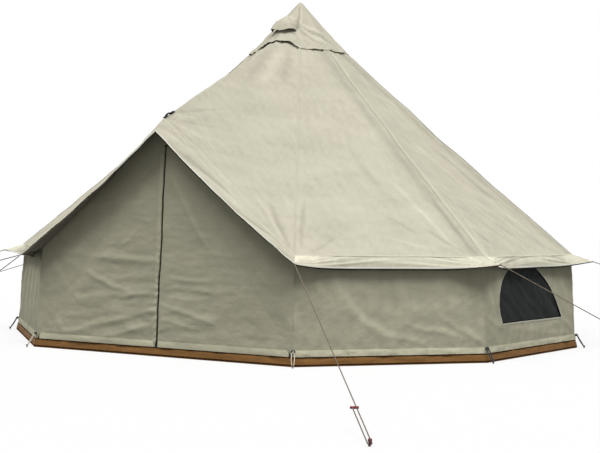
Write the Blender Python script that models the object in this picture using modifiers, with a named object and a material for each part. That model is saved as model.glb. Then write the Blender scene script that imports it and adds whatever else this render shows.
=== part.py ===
# Canvas bell tent: a ten-sided tub floor, a wall band, a cone roof on one centre pole, an A-frame
# doorway with two zipped leaves, a vented crown cap, a mesh window, guy ropes, and pegs.
# Metres, +Z up. The door faces -Y. The centre pole stands on the origin, on the ground.

import math

import bmesh
import bpy
from mathutils import Matrix, Vector
from mathutils.bvhtree import BVHTree

# Plan: ten corners, with the door side wider than the nine others
CORNERS = 10
DOOR_SIDE_DEG = 53.5
FLOOR_RADIUS = 2.500
TUB_LEAN = 0.018
WALL_LEAN = 0.0445
EAVE_OVERHANG = 0.0145
EAR_LENGTH = 0.157
PEAK_SETBACK = 0.286
PEAK_EAR_LENGTH = 0.107
CROWN_RADIUS = 0.090

# Heights
TUB_HEIGHT = 0.066
EAVE_HEIGHT = 0.762
EAR_DROP = 0.049
PEAK_HEIGHT = 1.740
PEAK_DROP = 0.100
ZIP_BELOW_PEAK = 0.190

# Roof and valance
CLOTH = 0.004
ROOF_SLOPE = 0.832
ROOF_CURVE = 0.0168
PANEL_SAG = 0.022
VALANCE_DEPTH = 0.085
VALANCE_FLARE = 0.014
EAR_REACH = 0.170
PEAK_RIDGE_SLOPE = 0.475
PORCH_SAG = 0.030

# Crown cap and vent
CAP_RADIUS = 0.4525
CAP_STAND = 0.159
CAP_TOP_RADIUS = 0.014
CAP_PORCH_LIFT = 0.012
VENT_RADIUS = 0.050
VENT_OUT = 0.215
HOOD_HALF_WIDTH = 0.108
HOOD_TOP_OUT = 0.130
HOOD_LIP_OUT = 0.365
HOOD_RISE = 0.070
HOOD_TOP_SHARE = 0.60
HOOD_LIP_CURVE = 0.38

# Door leaves
ZIP_GAP = 0.0005
LEAF_CORNER_CUT = 0.030

# Window in the second panel to the right of the door
WINDOW_HALF_WIDTH = 0.490
WINDOW_HEADROOM = 0.050
WINDOW_SILL = 0.262
WINDOW_LEAN = -0.120
WINDOW_SHIFT = 0.015

# Poles
POLE_RADIUS = 0.016
POLE_WALL = 0.0015
POLE_JOIN_HEIGHT = 1.420
POLE_SPIGOT = 0.120
POLE_FOOT_RADIUS = 0.036
POLE_FOOT_HEIGHT = 0.030
LEG_RADIUS = 0.0125
LEG_FOOT_RADIUS = 0.022
LEG_FOOT_HEIGHT = 0.018
ELBOW_RADIUS = 0.017
ELBOW_ARM = 0.110
ELBOW_BEND = 0.020
ELBOW_TRIAL_DROP = 0.150

# Guy ropes: how far off their pegs stand, and how much of each is drawn
ROPE_RADIUS = 0.0030
FRONT_GUY_RUN = 2.622
FRONT_GUY_SPLAY_DEG = 8.2
SIDE_GUY_RUN = 2.020
BACK_GUY_RUN = 2.780
LOW_GUY_RUN = 0.900
LOW_GUY_OUT = 0.020
RIGHT_DRAWN = 1.040
FAR_RIGHT_DRAWN = 0.135
BACK_LEFT_DRAWN = 1.340
LEFT_DRAWN = 0.120
FRONT_LEFT_DRAWN = 0.230
LOW_LEFT_DRAWN = 0.260
KNOT_RADIUS = 0.0078
KNOT_LENGTH = 0.019
KNOT_TURNS = 3

# The runner and the peg of the front right guy, and the pegs of the floor
STRAND_SPACING = 0.020
LOOP_HEIGHT = 0.014
RUNNER_FROM_PEG = 0.380
RUNNER_WIDTH = 0.042
RUNNER_THICK = 0.011
RUNNER_DEPTH = 0.012
GUY_PEG_TILT_DEG = 18.0
GUY_PEG_HEAD = 0.010
GUY_PEG_TOP = 0.020
GUY_PEG_CAP = 0.010
TOGGLE_RADIUS = 0.011
TOGGLE_LENGTH = 0.034
TOGGLE_HEIGHT = 0.106
BAND_RADIUS = 0.0028
BAND_SPREAD = 0.007
BASE_PEG_OUT = 0.055
BASE_PEG_RADIUS = 0.0045
BASE_PEG_HEIGHT = 0.022

# Webbing loop on the porch peak
LOOP_RADIUS = 0.0045
LOOP_SPAN = 0.055
LOOP_RISE = 0.026

# Clearances between pieces that touch
GAP = 0.0003
RUNNING_GAP = 0.0005

DOOR_HALF = math.radians(DOOR_SIDE_DEG) / 2.0
SIDE_STEP = (2.0 * math.pi - 2.0 * DOOR_HALF) / (CORNERS - 1)
SIDE_HALF = SIDE_STEP / 2.0
PANELS = CORNERS - 1

# Walls stand inside the tub's rim, the eave just outside the walls, and the ears and the porch reach from the eave
WALL_FOOT_RADIUS = FLOOR_RADIUS - TUB_LEAN
WALL_HEAD_RADIUS = WALL_FOOT_RADIUS - WALL_LEAN
EAVE_RADIUS = WALL_HEAD_RADIUS + EAVE_OVERHANG
TIP_RADIUS = EAVE_RADIUS + EAR_LENGTH
PEAK_RADIUS = EAVE_RADIUS - PEAK_SETBACK
PEAK_TIP_RADIUS = PEAK_RADIUS + PEAK_EAR_LENGTH
TIP_HEIGHT = EAVE_HEIGHT - EAR_DROP
PEAK_TIP_HEIGHT = PEAK_HEIGHT - PEAK_DROP
ZIP_TOP_HEIGHT = PEAK_HEIGHT - ZIP_BELOW_PEAK
WINDOW_HEIGHT = EAVE_HEIGHT - WINDOW_HEADROOM - WINDOW_SILL

for old in list(bpy.data.objects):
    bpy.data.objects.remove(old, do_unlink=True)

tent = bpy.data.collections.new("bell_tent")
cutters = bpy.data.collections.new("cutters")
bpy.context.scene.collection.children.link(tent)
bpy.context.scene.collection.children.link(cutters)


def material(name, colour, roughness, metallic=0.0):
    made = bpy.data.materials.new(name)
    made.use_nodes = True
    shader = made.node_tree.nodes["Principled BSDF"]
    shader.inputs["Base Color"].default_value = (*colour, 1.0)
    shader.inputs["Roughness"].default_value = roughness
    shader.inputs["Metallic"].default_value = metallic
    return made


ROOF_CANVAS = (0.64, 0.60, 0.48)
WALL_CANVAS = (0.32, 0.30, 0.22)
FLOOR_CLOTH = (0.20, 0.105, 0.045)
BLACK_MESH = (0.022, 0.024, 0.024)
STEEL = (0.55, 0.55, 0.56)
BLACK_PLASTIC = (0.02, 0.02, 0.02)
ROPE_SAND = (0.42, 0.29, 0.15)
PEG_RED = (0.19, 0.025, 0.02)
RUNNER_RED = (0.22, 0.035, 0.03)
BAND_CREAM = (0.60, 0.48, 0.38)


def finish(thing, colour, roughness, metallic=0.0, smooth_deg=30.0):
    """Gives a finished piece its material and its shading."""
    thing.data.materials.clear()
    thing.data.materials.append(material(thing.name, colour, roughness, metallic))
    thing.data.shade_smooth()
    thing.data.set_sharp_from_angle(angle=math.radians(smooth_deg))
    return thing


def add_mesh(name, mesh, origin=(0.0, 0.0, 0.0), group=None):
    thing = bpy.data.objects.new(name, mesh)
    thing.location = origin
    (group or tent).objects.link(thing)
    return thing


def evaluated_mesh(thing):
    """The mesh of an object with its modifiers applied, or of a curve, in its own space."""
    bpy.context.view_layer.update()
    graph = bpy.context.evaluated_depsgraph_get()
    mesh = bpy.data.meshes.new_from_object(thing.evaluated_get(graph))
    work = bmesh.new()
    work.from_mesh(mesh)
    bmesh.ops.remove_doubles(work, verts=work.verts, dist=0.000002)
    bmesh.ops.recalc_face_normals(work, faces=work.faces)
    work.to_mesh(mesh)
    work.free()
    return mesh


def loft(name, outer, inner, origin=(0.0, 0.0, 0.0), ring=False, group=None):
    """A sheet of cloth as a closed solid, lofted from an outer and an inner grid of points."""
    origin = Vector(origin)
    work = bmesh.new()
    out = [[work.verts.new(Vector(p) - origin) for p in row] for row in outer]
    inn = [[work.verts.new(Vector(p) - origin) for p in row] for row in inner]
    rows = len(out)
    cols = len(out[0])
    spans = cols if ring else cols - 1
    for i in range(rows - 1):
        for j in range(spans):
            k = (j + 1) % cols
            work.faces.new((out[i][j], out[i][k], out[i + 1][k], out[i + 1][j]))
            work.faces.new((inn[i][j], inn[i + 1][j], inn[i + 1][k], inn[i][k]))
    for j in range(spans):
        k = (j + 1) % cols
        work.faces.new((out[0][k], out[0][j], inn[0][j], inn[0][k]))
        work.faces.new((out[-1][j], out[-1][k], inn[-1][k], inn[-1][j]))
    if not ring:
        for i in range(rows - 1):
            work.faces.new((out[i][0], out[i + 1][0], inn[i + 1][0], inn[i][0]))
            work.faces.new((out[i + 1][-1], out[i][-1], inn[i][-1], inn[i + 1][-1]))
    bmesh.ops.recalc_face_normals(work, faces=work.faces)
    mesh = bpy.data.meshes.new(name)
    work.to_mesh(mesh)
    work.free()
    return add_mesh(name, mesh, origin, group)


def turned(name, profile, steps=20, origin=(0.0, 0.0, 0.0), group=None):
    """A turned piece: the profile lies at +X and runs top to bottom down its outer side."""
    mesh = bpy.data.meshes.new(name)
    count = len(profile)
    closed = profile[0][0] > 0.0 and profile[-1][0] > 0.0
    edges = [(i, i + 1) for i in range(count - 1)]
    if closed:
        edges.append((count - 1, 0))
    mesh.from_pydata([(r, 0.0, z) for r, z in profile], edges, [])
    thing = add_mesh(name, mesh, origin, group)
    screw = thing.modifiers.new("Screw", "SCREW")
    screw.steps = steps
    screw.render_steps = steps
    screw.use_merge_vertices = True
    screw.merge_threshold = 0.00001
    return thing


def tube(name, points, radius, origin=(0.0, 0.0, 0.0), sides=2, group=None):
    """A rope, wire or rail along the points, made a mesh with its caps welded on."""
    curve = bpy.data.curves.new(name, "CURVE")
    curve.dimensions = "3D"
    curve.bevel_depth = radius
    curve.bevel_resolution = sides
    curve.use_fill_caps = True
    spline = curve.splines.new("POLY")
    spline.points.add(len(points) - 1)
    for spot, point in zip(spline.points, points):
        spot.co = (*point, 1.0)
    guide = bpy.data.objects.new(name + "_line", curve)
    cutters.objects.link(guide)
    mesh = evaluated_mesh(guide)
    bpy.data.objects.remove(guide, do_unlink=True)
    mesh.name = name
    return add_mesh(name, mesh, origin, group)


def outline_block(name, points, depth, matrix, group=None):
    """A flat outline in local X and Y, filled and given a depth to both sides of its plane."""
    curve = bpy.data.curves.new(name, "CURVE")
    curve.dimensions = "2D"
    curve.fill_mode = "BOTH"
    curve.extrude = depth / 2.0
    spline = curve.splines.new("POLY")
    spline.points.add(len(points) - 1)
    for spot, point in zip(spline.points, points):
        spot.co = (point[0], point[1], 0.0, 1.0)
    spline.use_cyclic_u = True
    guide = bpy.data.objects.new(name + "_line", curve)
    cutters.objects.link(guide)
    mesh = evaluated_mesh(guide)
    bpy.data.objects.remove(guide, do_unlink=True)
    mesh.transform(matrix)
    mesh.name = name
    return add_mesh(name, mesh, group=group)


def cylinder(name, radius, low, high, matrix=None, sides=16, group=None):
    work = bmesh.new()
    bmesh.ops.create_cone(
        work,
        cap_ends=True,
        segments=sides,
        radius1=radius,
        radius2=radius,
        depth=high - low,
        matrix=Matrix.Translation((0.0, 0.0, (low + high) / 2.0)),
    )
    if matrix is not None:
        work.transform(matrix)
    mesh = bpy.data.meshes.new(name)
    work.to_mesh(mesh)
    work.free()
    return add_mesh(name, mesh, group=group or cutters)


def block(name, size, centre, matrix=None, group=None):
    work = bmesh.new()
    bmesh.ops.create_cube(work, size=1.0)
    work.transform(Matrix.Translation(centre) @ Matrix.Diagonal((*size, 1.0)))
    if matrix is not None:
        work.transform(matrix)
    mesh = bpy.data.meshes.new(name)
    work.to_mesh(mesh)
    work.free()
    return add_mesh(name, mesh, group=group or cutters)


def combine(base, others, operation):
    """Joins, cuts or crosses a piece with others, and removes the others."""
    for other in others:
        step = base.modifiers.new(operation.title(), "BOOLEAN")
        step.operation = operation
        step.solver = "EXACT"
        step.object = other
    mesh = evaluated_mesh(base)
    mesh.name = base.name
    base.modifiers.clear()
    base.data = mesh
    for other in others:
        bpy.data.objects.remove(other, do_unlink=True)
    return base


def bevelled(thing, width, segments=2, angle_deg=40.0):
    bevel = thing.modifiers.new("Bevel", "BEVEL")
    bevel.width = width
    bevel.segments = segments
    bevel.limit_method = "ANGLE"
    bevel.angle_limit = math.radians(angle_deg)
    return thing


# Plan geometry shared by every sheet
def heading(angle):
    return Vector((math.sin(angle), -math.cos(angle), 0.0))


def corner_angle(index):
    return DOOR_HALF + index * SIDE_STEP


def corner(index):
    return heading(corner_angle(index))


def on_side(index, share, radius, height):
    """A point on the straight side from one corner to the next, at a corner radius and a height."""
    point = corner(index).lerp(corner(index + 1), share) * radius
    point.z = height
    return point


def wall_radius(height):
    """The wall leans in from its foot to its head; its outer face at a corner."""
    rise = (height - TUB_HEIGHT) / (EAVE_HEIGHT - TUB_HEIGHT)
    return WALL_FOOT_RADIUS + (WALL_HEAD_RADIUS - WALL_FOOT_RADIUS) * rise


def door_face(height):
    """How far the outer face of the door side lies from the centre pole."""
    return wall_radius(height) * math.cos(DOOR_HALF)


def roof_height(radius):
    """The outer face of the roof along a corner seam."""
    run = EAVE_RADIUS - radius
    return EAVE_HEIGHT + ROOF_SLOPE * run + ROOF_CURVE * run * run


CROWN_HEIGHT = roof_height(CROWN_RADIUS)
CAP_TOP_HEIGHT = CROWN_HEIGHT + CAP_STAND
ROOF_DROP = CLOTH * math.hypot(1.0, ROOF_SLOPE)
SIDE_INSET = CLOTH / math.cos(SIDE_HALF)
SEAM = GAP / 2.0


def roof_share(radius):
    return (radius - CROWN_RADIUS) / (EAVE_RADIUS - CROWN_RADIUS)


def panel_sag(radius, share):
    swing = math.sin(math.pi * roof_share(radius))
    return PANEL_SAG * swing * swing * 4.0 * share * (1.0 - share)


ROOF_ROWS = [CROWN_RADIUS + (EAVE_RADIUS - CROWN_RADIUS) * t for t in
             (0.0, 0.08, 0.155, 0.30, 0.46, 0.62, 0.78, 0.92, 1.0)]
SIDE_SHARES = [0.0, 0.05, 0.13, 0.28, 0.5, 0.72, 0.87, 0.95, 1.0]


def ear_pull(distance):
    """How strongly the valance is drawn out to the guy point of a corner."""
    return math.exp(-(distance / EAR_REACH) ** 2)


def ear_tip(index):
    point = corner(index) * TIP_RADIUS
    point.z = TIP_HEIGHT
    return point


def valance_edge(index, share):
    """The lower edge of the valance: it hangs plumb along a side and runs out to the corner tips."""
    width = 2.0 * EAVE_RADIUS * math.sin(SIDE_HALF)
    hang = on_side(index, share, EAVE_RADIUS + VALANCE_FLARE, EAVE_HEIGHT - VALANCE_DEPTH)
    near = ear_pull(width * share)
    far = ear_pull(width * (1.0 - share))
    return hang * (1.0 - near - far) + ear_tip(index) * near + ear_tip(index + 1) * far


def gore_column(index, share):
    """Outer and inner points of one cut down a roof panel, from the crown to the valance edge."""
    outer = []
    inner = []
    for radius in ROOF_ROWS[:-1]:
        point = on_side(index, share, radius, roof_height(radius) - panel_sag(radius, share))
        outer.append(point)
        inner.append(point - Vector((0.0, 0.0, ROOF_DROP)))
    inset = corner(index).lerp(corner(index + 1), share) * SIDE_INSET
    bend = on_side(index, share, EAVE_RADIUS, EAVE_HEIGHT)
    outer.append(bend)
    inner.append(bend - inset + Vector((0.0, 0.0, ROOF_SLOPE * SIDE_INSET - ROOF_DROP)))
    edge = valance_edge(index, share)
    tuck = inset + Vector((0.0, 0.0, CLOTH / 2.0))
    for step in (0.5, 1.0):
        point = bend.lerp(edge, step)
        outer.append(point)
        inner.append(point - tuck)
    return outer, inner


def shifted(points, move):
    return [point + move for point in points]


def band_of_panels(name, first, count, column, shares):
    """Joins the columns of several neighbouring panels into one sheet, with a seam gap at both ends."""
    outer = []
    inner = []
    for index in range(first, first + count):
        for share in shares if index == first else shares[1:]:
            out, inn = column(index, share)
            move = Vector((0.0, 0.0, 0.0))
            if index == first and share == 0.0:
                move = (corner(index + 1) - corner(index)).normalized() * SEAM
            if index == first + count - 1 and share == 1.0:
                move = (corner(index) - corner(index + 1)).normalized() * SEAM
            outer.append(shifted(out, move))
            inner.append(shifted(inn, move))
    return loft(name, outer, inner)


# Roof: three groups of panels round the back and sides, and the porch over the door
roof_right = band_of_panels("roof_right", 0, 3, gore_column, SIDE_SHARES)
roof_back = band_of_panels("roof_back", 3, 3, gore_column, SIDE_SHARES)
roof_left = band_of_panels("roof_left", 6, 3, gore_column, SIDE_SHARES)

CROWN_DOOR_RADIUS = CROWN_RADIUS * math.cos(DOOR_HALF)
CAP_DOOR_RADIUS = CAP_RADIUS


def porch_ridge_height(out):
    """The outer face along the porch ridge, from the crown to the peak."""
    run = PEAK_RADIUS - out
    bend = PEAK_RADIUS - CAP_DOOR_RADIUS
    height = PEAK_HEIGHT + PEAK_RIDGE_SLOPE * run
    if run > bend:
        top = PEAK_HEIGHT + PEAK_RIDGE_SLOPE * (PEAK_RADIUS - CROWN_DOOR_RADIUS)
        lift = (run - bend) / (PEAK_RADIUS - CROWN_DOOR_RADIUS - bend)
        height += (CROWN_HEIGHT - top) * lift * lift
    return height


def porch_point(share, side):
    """Points down the porch roof at a share of the way from its ridge to the corner seam."""
    edge = corner(0)
    points = []
    for radius in ROOF_ROWS:
        down = roof_share(radius)
        out = CROWN_DOOR_RADIUS + (PEAK_RADIUS - CROWN_DOOR_RADIUS) * down
        ridge = Vector((0.0, -out, porch_ridge_height(out)))
        seam = edge * radius
        seam.z = roof_height(radius)
        point = ridge.lerp(seam, share)
        point.z -= PORCH_SAG * down * down * 4.0 * share * (1.0 - share)
        points.append(point)
    ridge_tip = Vector((0.0, -PEAK_TIP_RADIUS, PEAK_TIP_HEIGHT))
    lip = ridge_tip.lerp(ear_tip(0), share)
    lip.z -= PORCH_SAG * 4.0 * share * (1.0 - share)
    hem = points[-1]
    points.append(hem.lerp(lip, 0.5) + Vector((0.0, 0.0, 0.006 * (1.0 - share))))
    points.append(lip)
    if side < 0:
        points = [Vector((-p.x, p.y, p.z)) for p in points]
    return points


PORCH_SHARES = [0.0, 0.04, 0.10, 0.20, 0.34, 0.50, 0.66, 0.80, 0.91, 1.0]
porch_outer = []
for side, shares in ((-1, PORCH_SHARES[::-1]), (1, PORCH_SHARES[1:])):
    for share in shares:
        column = porch_point(share, side)
        if share == 1.0:
            away = Vector((-side * math.cos(DOOR_HALF), -math.sin(DOOR_HALF), 0.0))
            column = shifted(column, away * SEAM)
        porch_outer.append(column)
porch_inner = [shifted(column, Vector((0.0, 0.0, -ROOF_DROP))) for column in porch_outer]
roof_porch = loft("roof_porch", porch_outer, porch_inner)

def surface_of(thing):
    work = bmesh.new()
    work.from_mesh(thing.data)
    work.transform(thing.matrix_world)
    tree = BVHTree.FromBMesh(work)
    work.free()
    return tree


PORCH_SURFACE = surface_of(roof_porch)


def under_porch(x, y, start):
    """The height of the porch roof's underside over a point of the plan."""
    hit = PORCH_SURFACE.ray_cast(Vector((x, y, start)), Vector((0.0, 0.0, 1.0)))
    return hit[0].z


# Tub floor, one cloth with its sides turned up
def tub_ring(radius, height):
    points = []
    for index in range(CORNERS):
        point = corner(index) * radius
        point.z = height
        points.append(point)
    return points


TUB_TOP_RADIUS = WALL_FOOT_RADIUS
DOOR_INSET = CLOTH / math.cos(DOOR_HALF)


def tub_block(name, rings):
    """A solid stack of ten-sided rings with both ends closed."""
    work = bmesh.new()
    levels = [[work.verts.new(p) for p in ring] for ring in rings]
    for low, high in zip(levels, levels[1:]):
        for j in range(CORNERS):
            k = (j + 1) % CORNERS
            work.faces.new((low[j], low[k], high[k], high[j]))
    work.faces.new(levels[0])
    work.faces.new(levels[-1])
    bmesh.ops.recalc_face_normals(work, faces=work.faces)
    mesh = bpy.data.meshes.new(name)
    work.to_mesh(mesh)
    work.free()
    return add_mesh(name, mesh)


tub = tub_block("groundsheet_tub", [tub_ring(FLOOR_RADIUS, 0.0), tub_ring(TUB_TOP_RADIUS, TUB_HEIGHT)])
lean = (FLOOR_RADIUS - TUB_TOP_RADIUS) / TUB_HEIGHT
hollow = tub_block("tub_hollow", [
    tub_ring(FLOOR_RADIUS - DOOR_INSET - lean * CLOTH, CLOTH),
    tub_ring(TUB_TOP_RADIUS - DOOR_INSET - lean * CLOTH, TUB_HEIGHT + CLOTH),
])
combine(tub, [hollow], "DIFFERENCE")
finish(tub, FLOOR_CLOTH, 0.55)

# Walls: their feet stand on the tub's rim, their heads meet the roof's underside
WALL_FOOT = TUB_HEIGHT + GAP


def wall_head(radius):
    return roof_height(radius) - ROOF_DROP - RUNNING_GAP


def wall_rows():
    head = wall_head(wall_radius(EAVE_HEIGHT))
    rise = head - WALL_FOOT
    return [WALL_FOOT + rise * t for t in (0.0, 0.06, 0.25, 0.5, 0.75, 1.0)]


def wall_column(index, share):
    outer = []
    inner = []
    inset = corner(index).lerp(corner(index + 1), share) * SIDE_INSET
    for height in wall_rows():
        point = on_side(index, share, wall_radius(height), height)
        outer.append(point)
        inner.append(point - inset)
    return outer, inner


WALL_SHARES = [0.0, 0.25, 0.5, 0.75, 1.0]
WINDOW_PANEL = 1
wall_front_right = band_of_panels("wall_front_right", 0, 1, wall_column, WALL_SHARES)
wall_window = band_of_panels("wall_window", WINDOW_PANEL, 1, wall_column, [0.0, 1.0])
wall_back_right = band_of_panels("wall_back_right", 2, 2, wall_column, WALL_SHARES)
wall_back = band_of_panels("wall_back", 4, 3, wall_column, WALL_SHARES)
wall_left = band_of_panels("wall_left", 7, 2, wall_column, WALL_SHARES)

# Window: an arched opening that leans a little, with insect mesh in it
WINDOW_STEPS = 22


def window_outline(shrink):
    points = []
    half = WINDOW_HALF_WIDTH - shrink
    high = WINDOW_HEIGHT - shrink
    for step in range(WINDOW_STEPS + 1):
        turn = math.pi * step / WINDOW_STEPS
        rise = high * math.sin(turn)
        points.append((half * math.cos(turn) + WINDOW_SHIFT + WINDOW_LEAN * rise / high, rise))
    points[0] = (points[0][0], shrink)
    points[-1] = (points[-1][0], shrink)
    return points


window_turn = (corner_angle(WINDOW_PANEL) + corner_angle(WINDOW_PANEL + 1)) / 2.0
window_out = WALL_HEAD_RADIUS * math.cos(SIDE_HALF)
window_place = (
    Matrix.Translation(heading(window_turn) * window_out + Vector((0.0, 0.0, WINDOW_SILL)))
    @ Matrix.Rotation(window_turn, 4, "Z")
    @ Matrix.Rotation(math.pi / 2.0, 4, "X")
)
mesh_sheet = add_mesh("window_mesh", wall_window.data.copy())
opening = outline_block("window_cut", window_outline(0.0), 0.4, window_place, cutters)
combine(wall_window, [opening], "DIFFERENCE")
pane = outline_block("window_pane", window_outline(GAP), 0.4, window_place, cutters)
combine(mesh_sheet, [pane], "INTERSECT")
finish(mesh_sheet, BLACK_MESH, 0.7)

for wall in (wall_front_right, wall_window, wall_back_right, wall_back, wall_left):
    finish(wall, WALL_CANVAS, 0.85)

# Door side: a fixed gusset outside each fold line, and a leaf between the fold line and the zip
LEAF_FOOT = TUB_HEIGHT + GAP
FOLD_FOOT_X = wall_radius(LEAF_FOOT) * math.sin(DOOR_HALF)
LEAF_CUT_X = FOLD_FOOT_X - LEAF_CORNER_CUT


def fold_x(height):
    """The fold line runs straight from the top of the zip to the foot of the corner."""
    return FOLD_FOOT_X * (ZIP_TOP_HEIGHT - height) / (ZIP_TOP_HEIGHT - LEAF_FOOT)


def fold_height(x):
    return ZIP_TOP_HEIGHT - (ZIP_TOP_HEIGHT - LEAF_FOOT) * x / FOLD_FOOT_X


def on_door(x, height, side):
    return Vector((side * x, -door_face(height), height))


FOLD_SLANT = math.atan2(FOLD_FOOT_X, ZIP_TOP_HEIGHT - LEAF_FOOT)
LEAF_EDGE_GAP = GAP / math.cos(FOLD_SLANT)
INWARD = Vector((0.0, CLOTH, 0.0))


def gusset(name, side):
    lows = []
    highs = []
    steps = 12
    for step in range(steps + 1):
        x = SEAM + (LEAF_CUT_X - SEAM) * step / steps
        lows.append((x, fold_height(x)))
        highs.append(x * (1.0 - 0.02 * step / steps))
    lows.append((LEAF_CUT_X, LEAF_FOOT))
    highs.append(LEAF_CUT_X * 0.99)
    lows.append((wall_radius(LEAF_FOOT) * math.sin(DOOR_HALF), LEAF_FOOT))
    highs.append(None)
    outer = []
    inner = []
    for (x, low), top_x in zip(lows, highs):
        last = top_x is None
        if last:
            high = wall_head(wall_radius(EAVE_HEIGHT)) - 0.0005
            top_x = wall_radius(high) * math.sin(DOOR_HALF) - SEAM
            x -= SEAM
        else:
            high = 0.0
            for tries in range(6):
                face = door_face(high if high else EAVE_HEIGHT)
                out_high = under_porch(top_x, -face, 0.1)
                in_high = under_porch(top_x, -face + CLOTH, 0.1)
                high = min(out_high, in_high) - RUNNING_GAP
        out = []
        inn = []
        for t in (0.0, 0.5, 1.0):
            px = x + (top_x - x) * t
            pz = low + (high - low) * t
            tuck = Vector((-side * CLOTH * math.tan(DOOR_HALF), 0.0, 0.0)) if last else Vector()
            out.append(on_door(px, pz, side))
            inn.append(on_door(px, pz, side) + INWARD + tuck)
        outer.append(out)
        inner.append(inn)
    return finish(loft(name, outer, inner), WALL_CANVAS, 0.85)


gusset_right = gusset("door_gusset_right", 1)
gusset_left = gusset("door_gusset_left", -1)


def leaf(name, side):
    """A door leaf with its origin at the foot of its fold line, on the outer face."""
    foot = on_door(LEAF_CUT_X, fold_height(LEAF_CUT_X), side)
    top = ZIP_TOP_HEIGHT - 0.020
    break_height = fold_height(LEAF_CUT_X)
    levels = [LEAF_FOOT, (LEAF_FOOT + break_height) / 2.0, break_height]
    levels += [break_height + (top - break_height) * t for t in (0.12, 0.26, 0.42, 0.58, 0.74, 0.88, 1.0)]
    outer = []
    inner = []
    for height in levels:
        far = min(LEAF_CUT_X - GAP, fold_x(height) - LEAF_EDGE_GAP)
        row = [on_door(ZIP_GAP + (far - ZIP_GAP) * t, height, side) for t in (0.0, 0.2, 0.5, 0.8, 1.0)]
        outer.append(row)
        inner.append(shifted(row, INWARD))
    return finish(loft(name, outer, inner, origin=foot), WALL_CANVAS, 0.85)


leaf_right = leaf("door_leaf_right", 1)
leaf_left = leaf("door_leaf_left", -1)

# Zip slider on the left leaf, at the foot of the zip when the door is shut
SLIDER_HEIGHT = LEAF_FOOT + 0.030
slider_place = Matrix.Translation((-0.008, -door_face(SLIDER_HEIGHT), SLIDER_HEIGHT)) @ Matrix.Rotation(
    -math.atan2(door_face(0.1) - door_face(1.1), 1.0), 4, "X")
slider = block("zip_slider", (0.012, 0.005, 0.022), (0.0, -0.0025 - RUNNING_GAP, 0.0), slider_place, tent)
pull = block("zip_pull", (0.006, 0.0024, 0.034), (0.0, -0.0058 - RUNNING_GAP, -0.012), slider_place)
combine(slider, [pull], "UNION")
slider.data.transform(Matrix.Translation(-slider_place.translation))
slider.location = slider_place.translation
finish(bevelled(slider, 0.0006, 1), BLACK_PLASTIC, 0.4)

for roof in (roof_right, roof_back, roof_left, roof_porch):
    finish(roof, ROOF_CANVAS, 0.9)

# Crown cap: it rests on the roof along its skirt and on the pole's finial at its top
CAP_LIFT = ROOF_DROP + GAP * 2.0


def cap_ring(share, drop, inset):
    """One ring of the cap: ten corners and a point over the porch ridge."""
    points = []
    top_height = CAP_TOP_HEIGHT
    skirt = roof_height(CAP_RADIUS) + CAP_LIFT
    porch_skirt = porch_ridge_height(CAP_DOOR_RADIUS) + CAP_LIFT + CAP_PORCH_LIFT
    angles = [(corner_angle(i), skirt) for i in range(CORNERS)] + [(2.0 * math.pi, porch_skirt)]
    for angle, foot in angles:
        radius = CAP_TOP_RADIUS + (CAP_RADIUS - CAP_TOP_RADIUS) * share - inset
        height = top_height + (foot - top_height) * share - drop
        point = heading(angle) * radius
        point.z = height
        points.append(point)
    return points


CAP_SHARES = (0.0, 0.25, 0.55, 0.85, 1.0)
cap_outer = [cap_ring(share, 0.0, 0.0) for share in CAP_SHARES]
cap_inner = [cap_ring(share, CLOTH * 1.4, 0.0) for share in CAP_SHARES]


def cap_solid(name):
    """The cap with its small flat top closed."""
    work = bmesh.new()
    out = [[work.verts.new(p) for p in ring] for ring in cap_outer]
    inn = [[work.verts.new(p) for p in ring] for ring in cap_inner]
    cols = len(out[0])
    for level in (out, inn):
        work.faces.new(level[0])
        for low, high in zip(level, level[1:]):
            for j in range(cols):
                k = (j + 1) % cols
                work.faces.new((low[j], low[k], high[k], high[j]))
    for j in range(cols):
        k = (j + 1) % cols
        work.faces.new((out[-1][j], out[-1][k], inn[-1][k], inn[-1][j]))
    bmesh.ops.recalc_face_normals(work, faces=work.faces)
    mesh = bpy.data.meshes.new(name)
    work.to_mesh(mesh)
    work.free()
    return add_mesh(name, mesh)


crown_cap = cap_solid("crown_cap")
CAP_SURFACE = surface_of(crown_cap)
vent_mesh = add_mesh("vent_mesh", crown_cap.data.copy())
vent_lean = math.atan2(CAP_TOP_HEIGHT - porch_ridge_height(CAP_DOOR_RADIUS), CAP_RADIUS)
vent_height = CAP_TOP_HEIGHT - VENT_OUT * math.tan(vent_lean)
vent_place = Matrix.Translation((0.0, -VENT_OUT, vent_height)) @ Matrix.Rotation(vent_lean, 4, "X")
vent_cut = cylinder("vent_cut", VENT_RADIUS, -0.05, 0.05, vent_place, 20)
combine(crown_cap, [vent_cut], "DIFFERENCE")
vent_disc = cylinder("vent_disc", VENT_RADIUS - GAP * 1.3, -0.05, 0.05, vent_place, 20)
combine(vent_mesh, [vent_disc], "INTERSECT")
finish(crown_cap, ROOF_CANVAS, 0.9)
finish(vent_mesh, BLACK_MESH, 0.7)


def over_cap(x, y):
    hit = CAP_SURFACE.ray_cast(Vector((x, y, CAP_TOP_HEIGHT + 1.0)), Vector((0.0, 0.0, -1.0)))
    return hit[0].z


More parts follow.
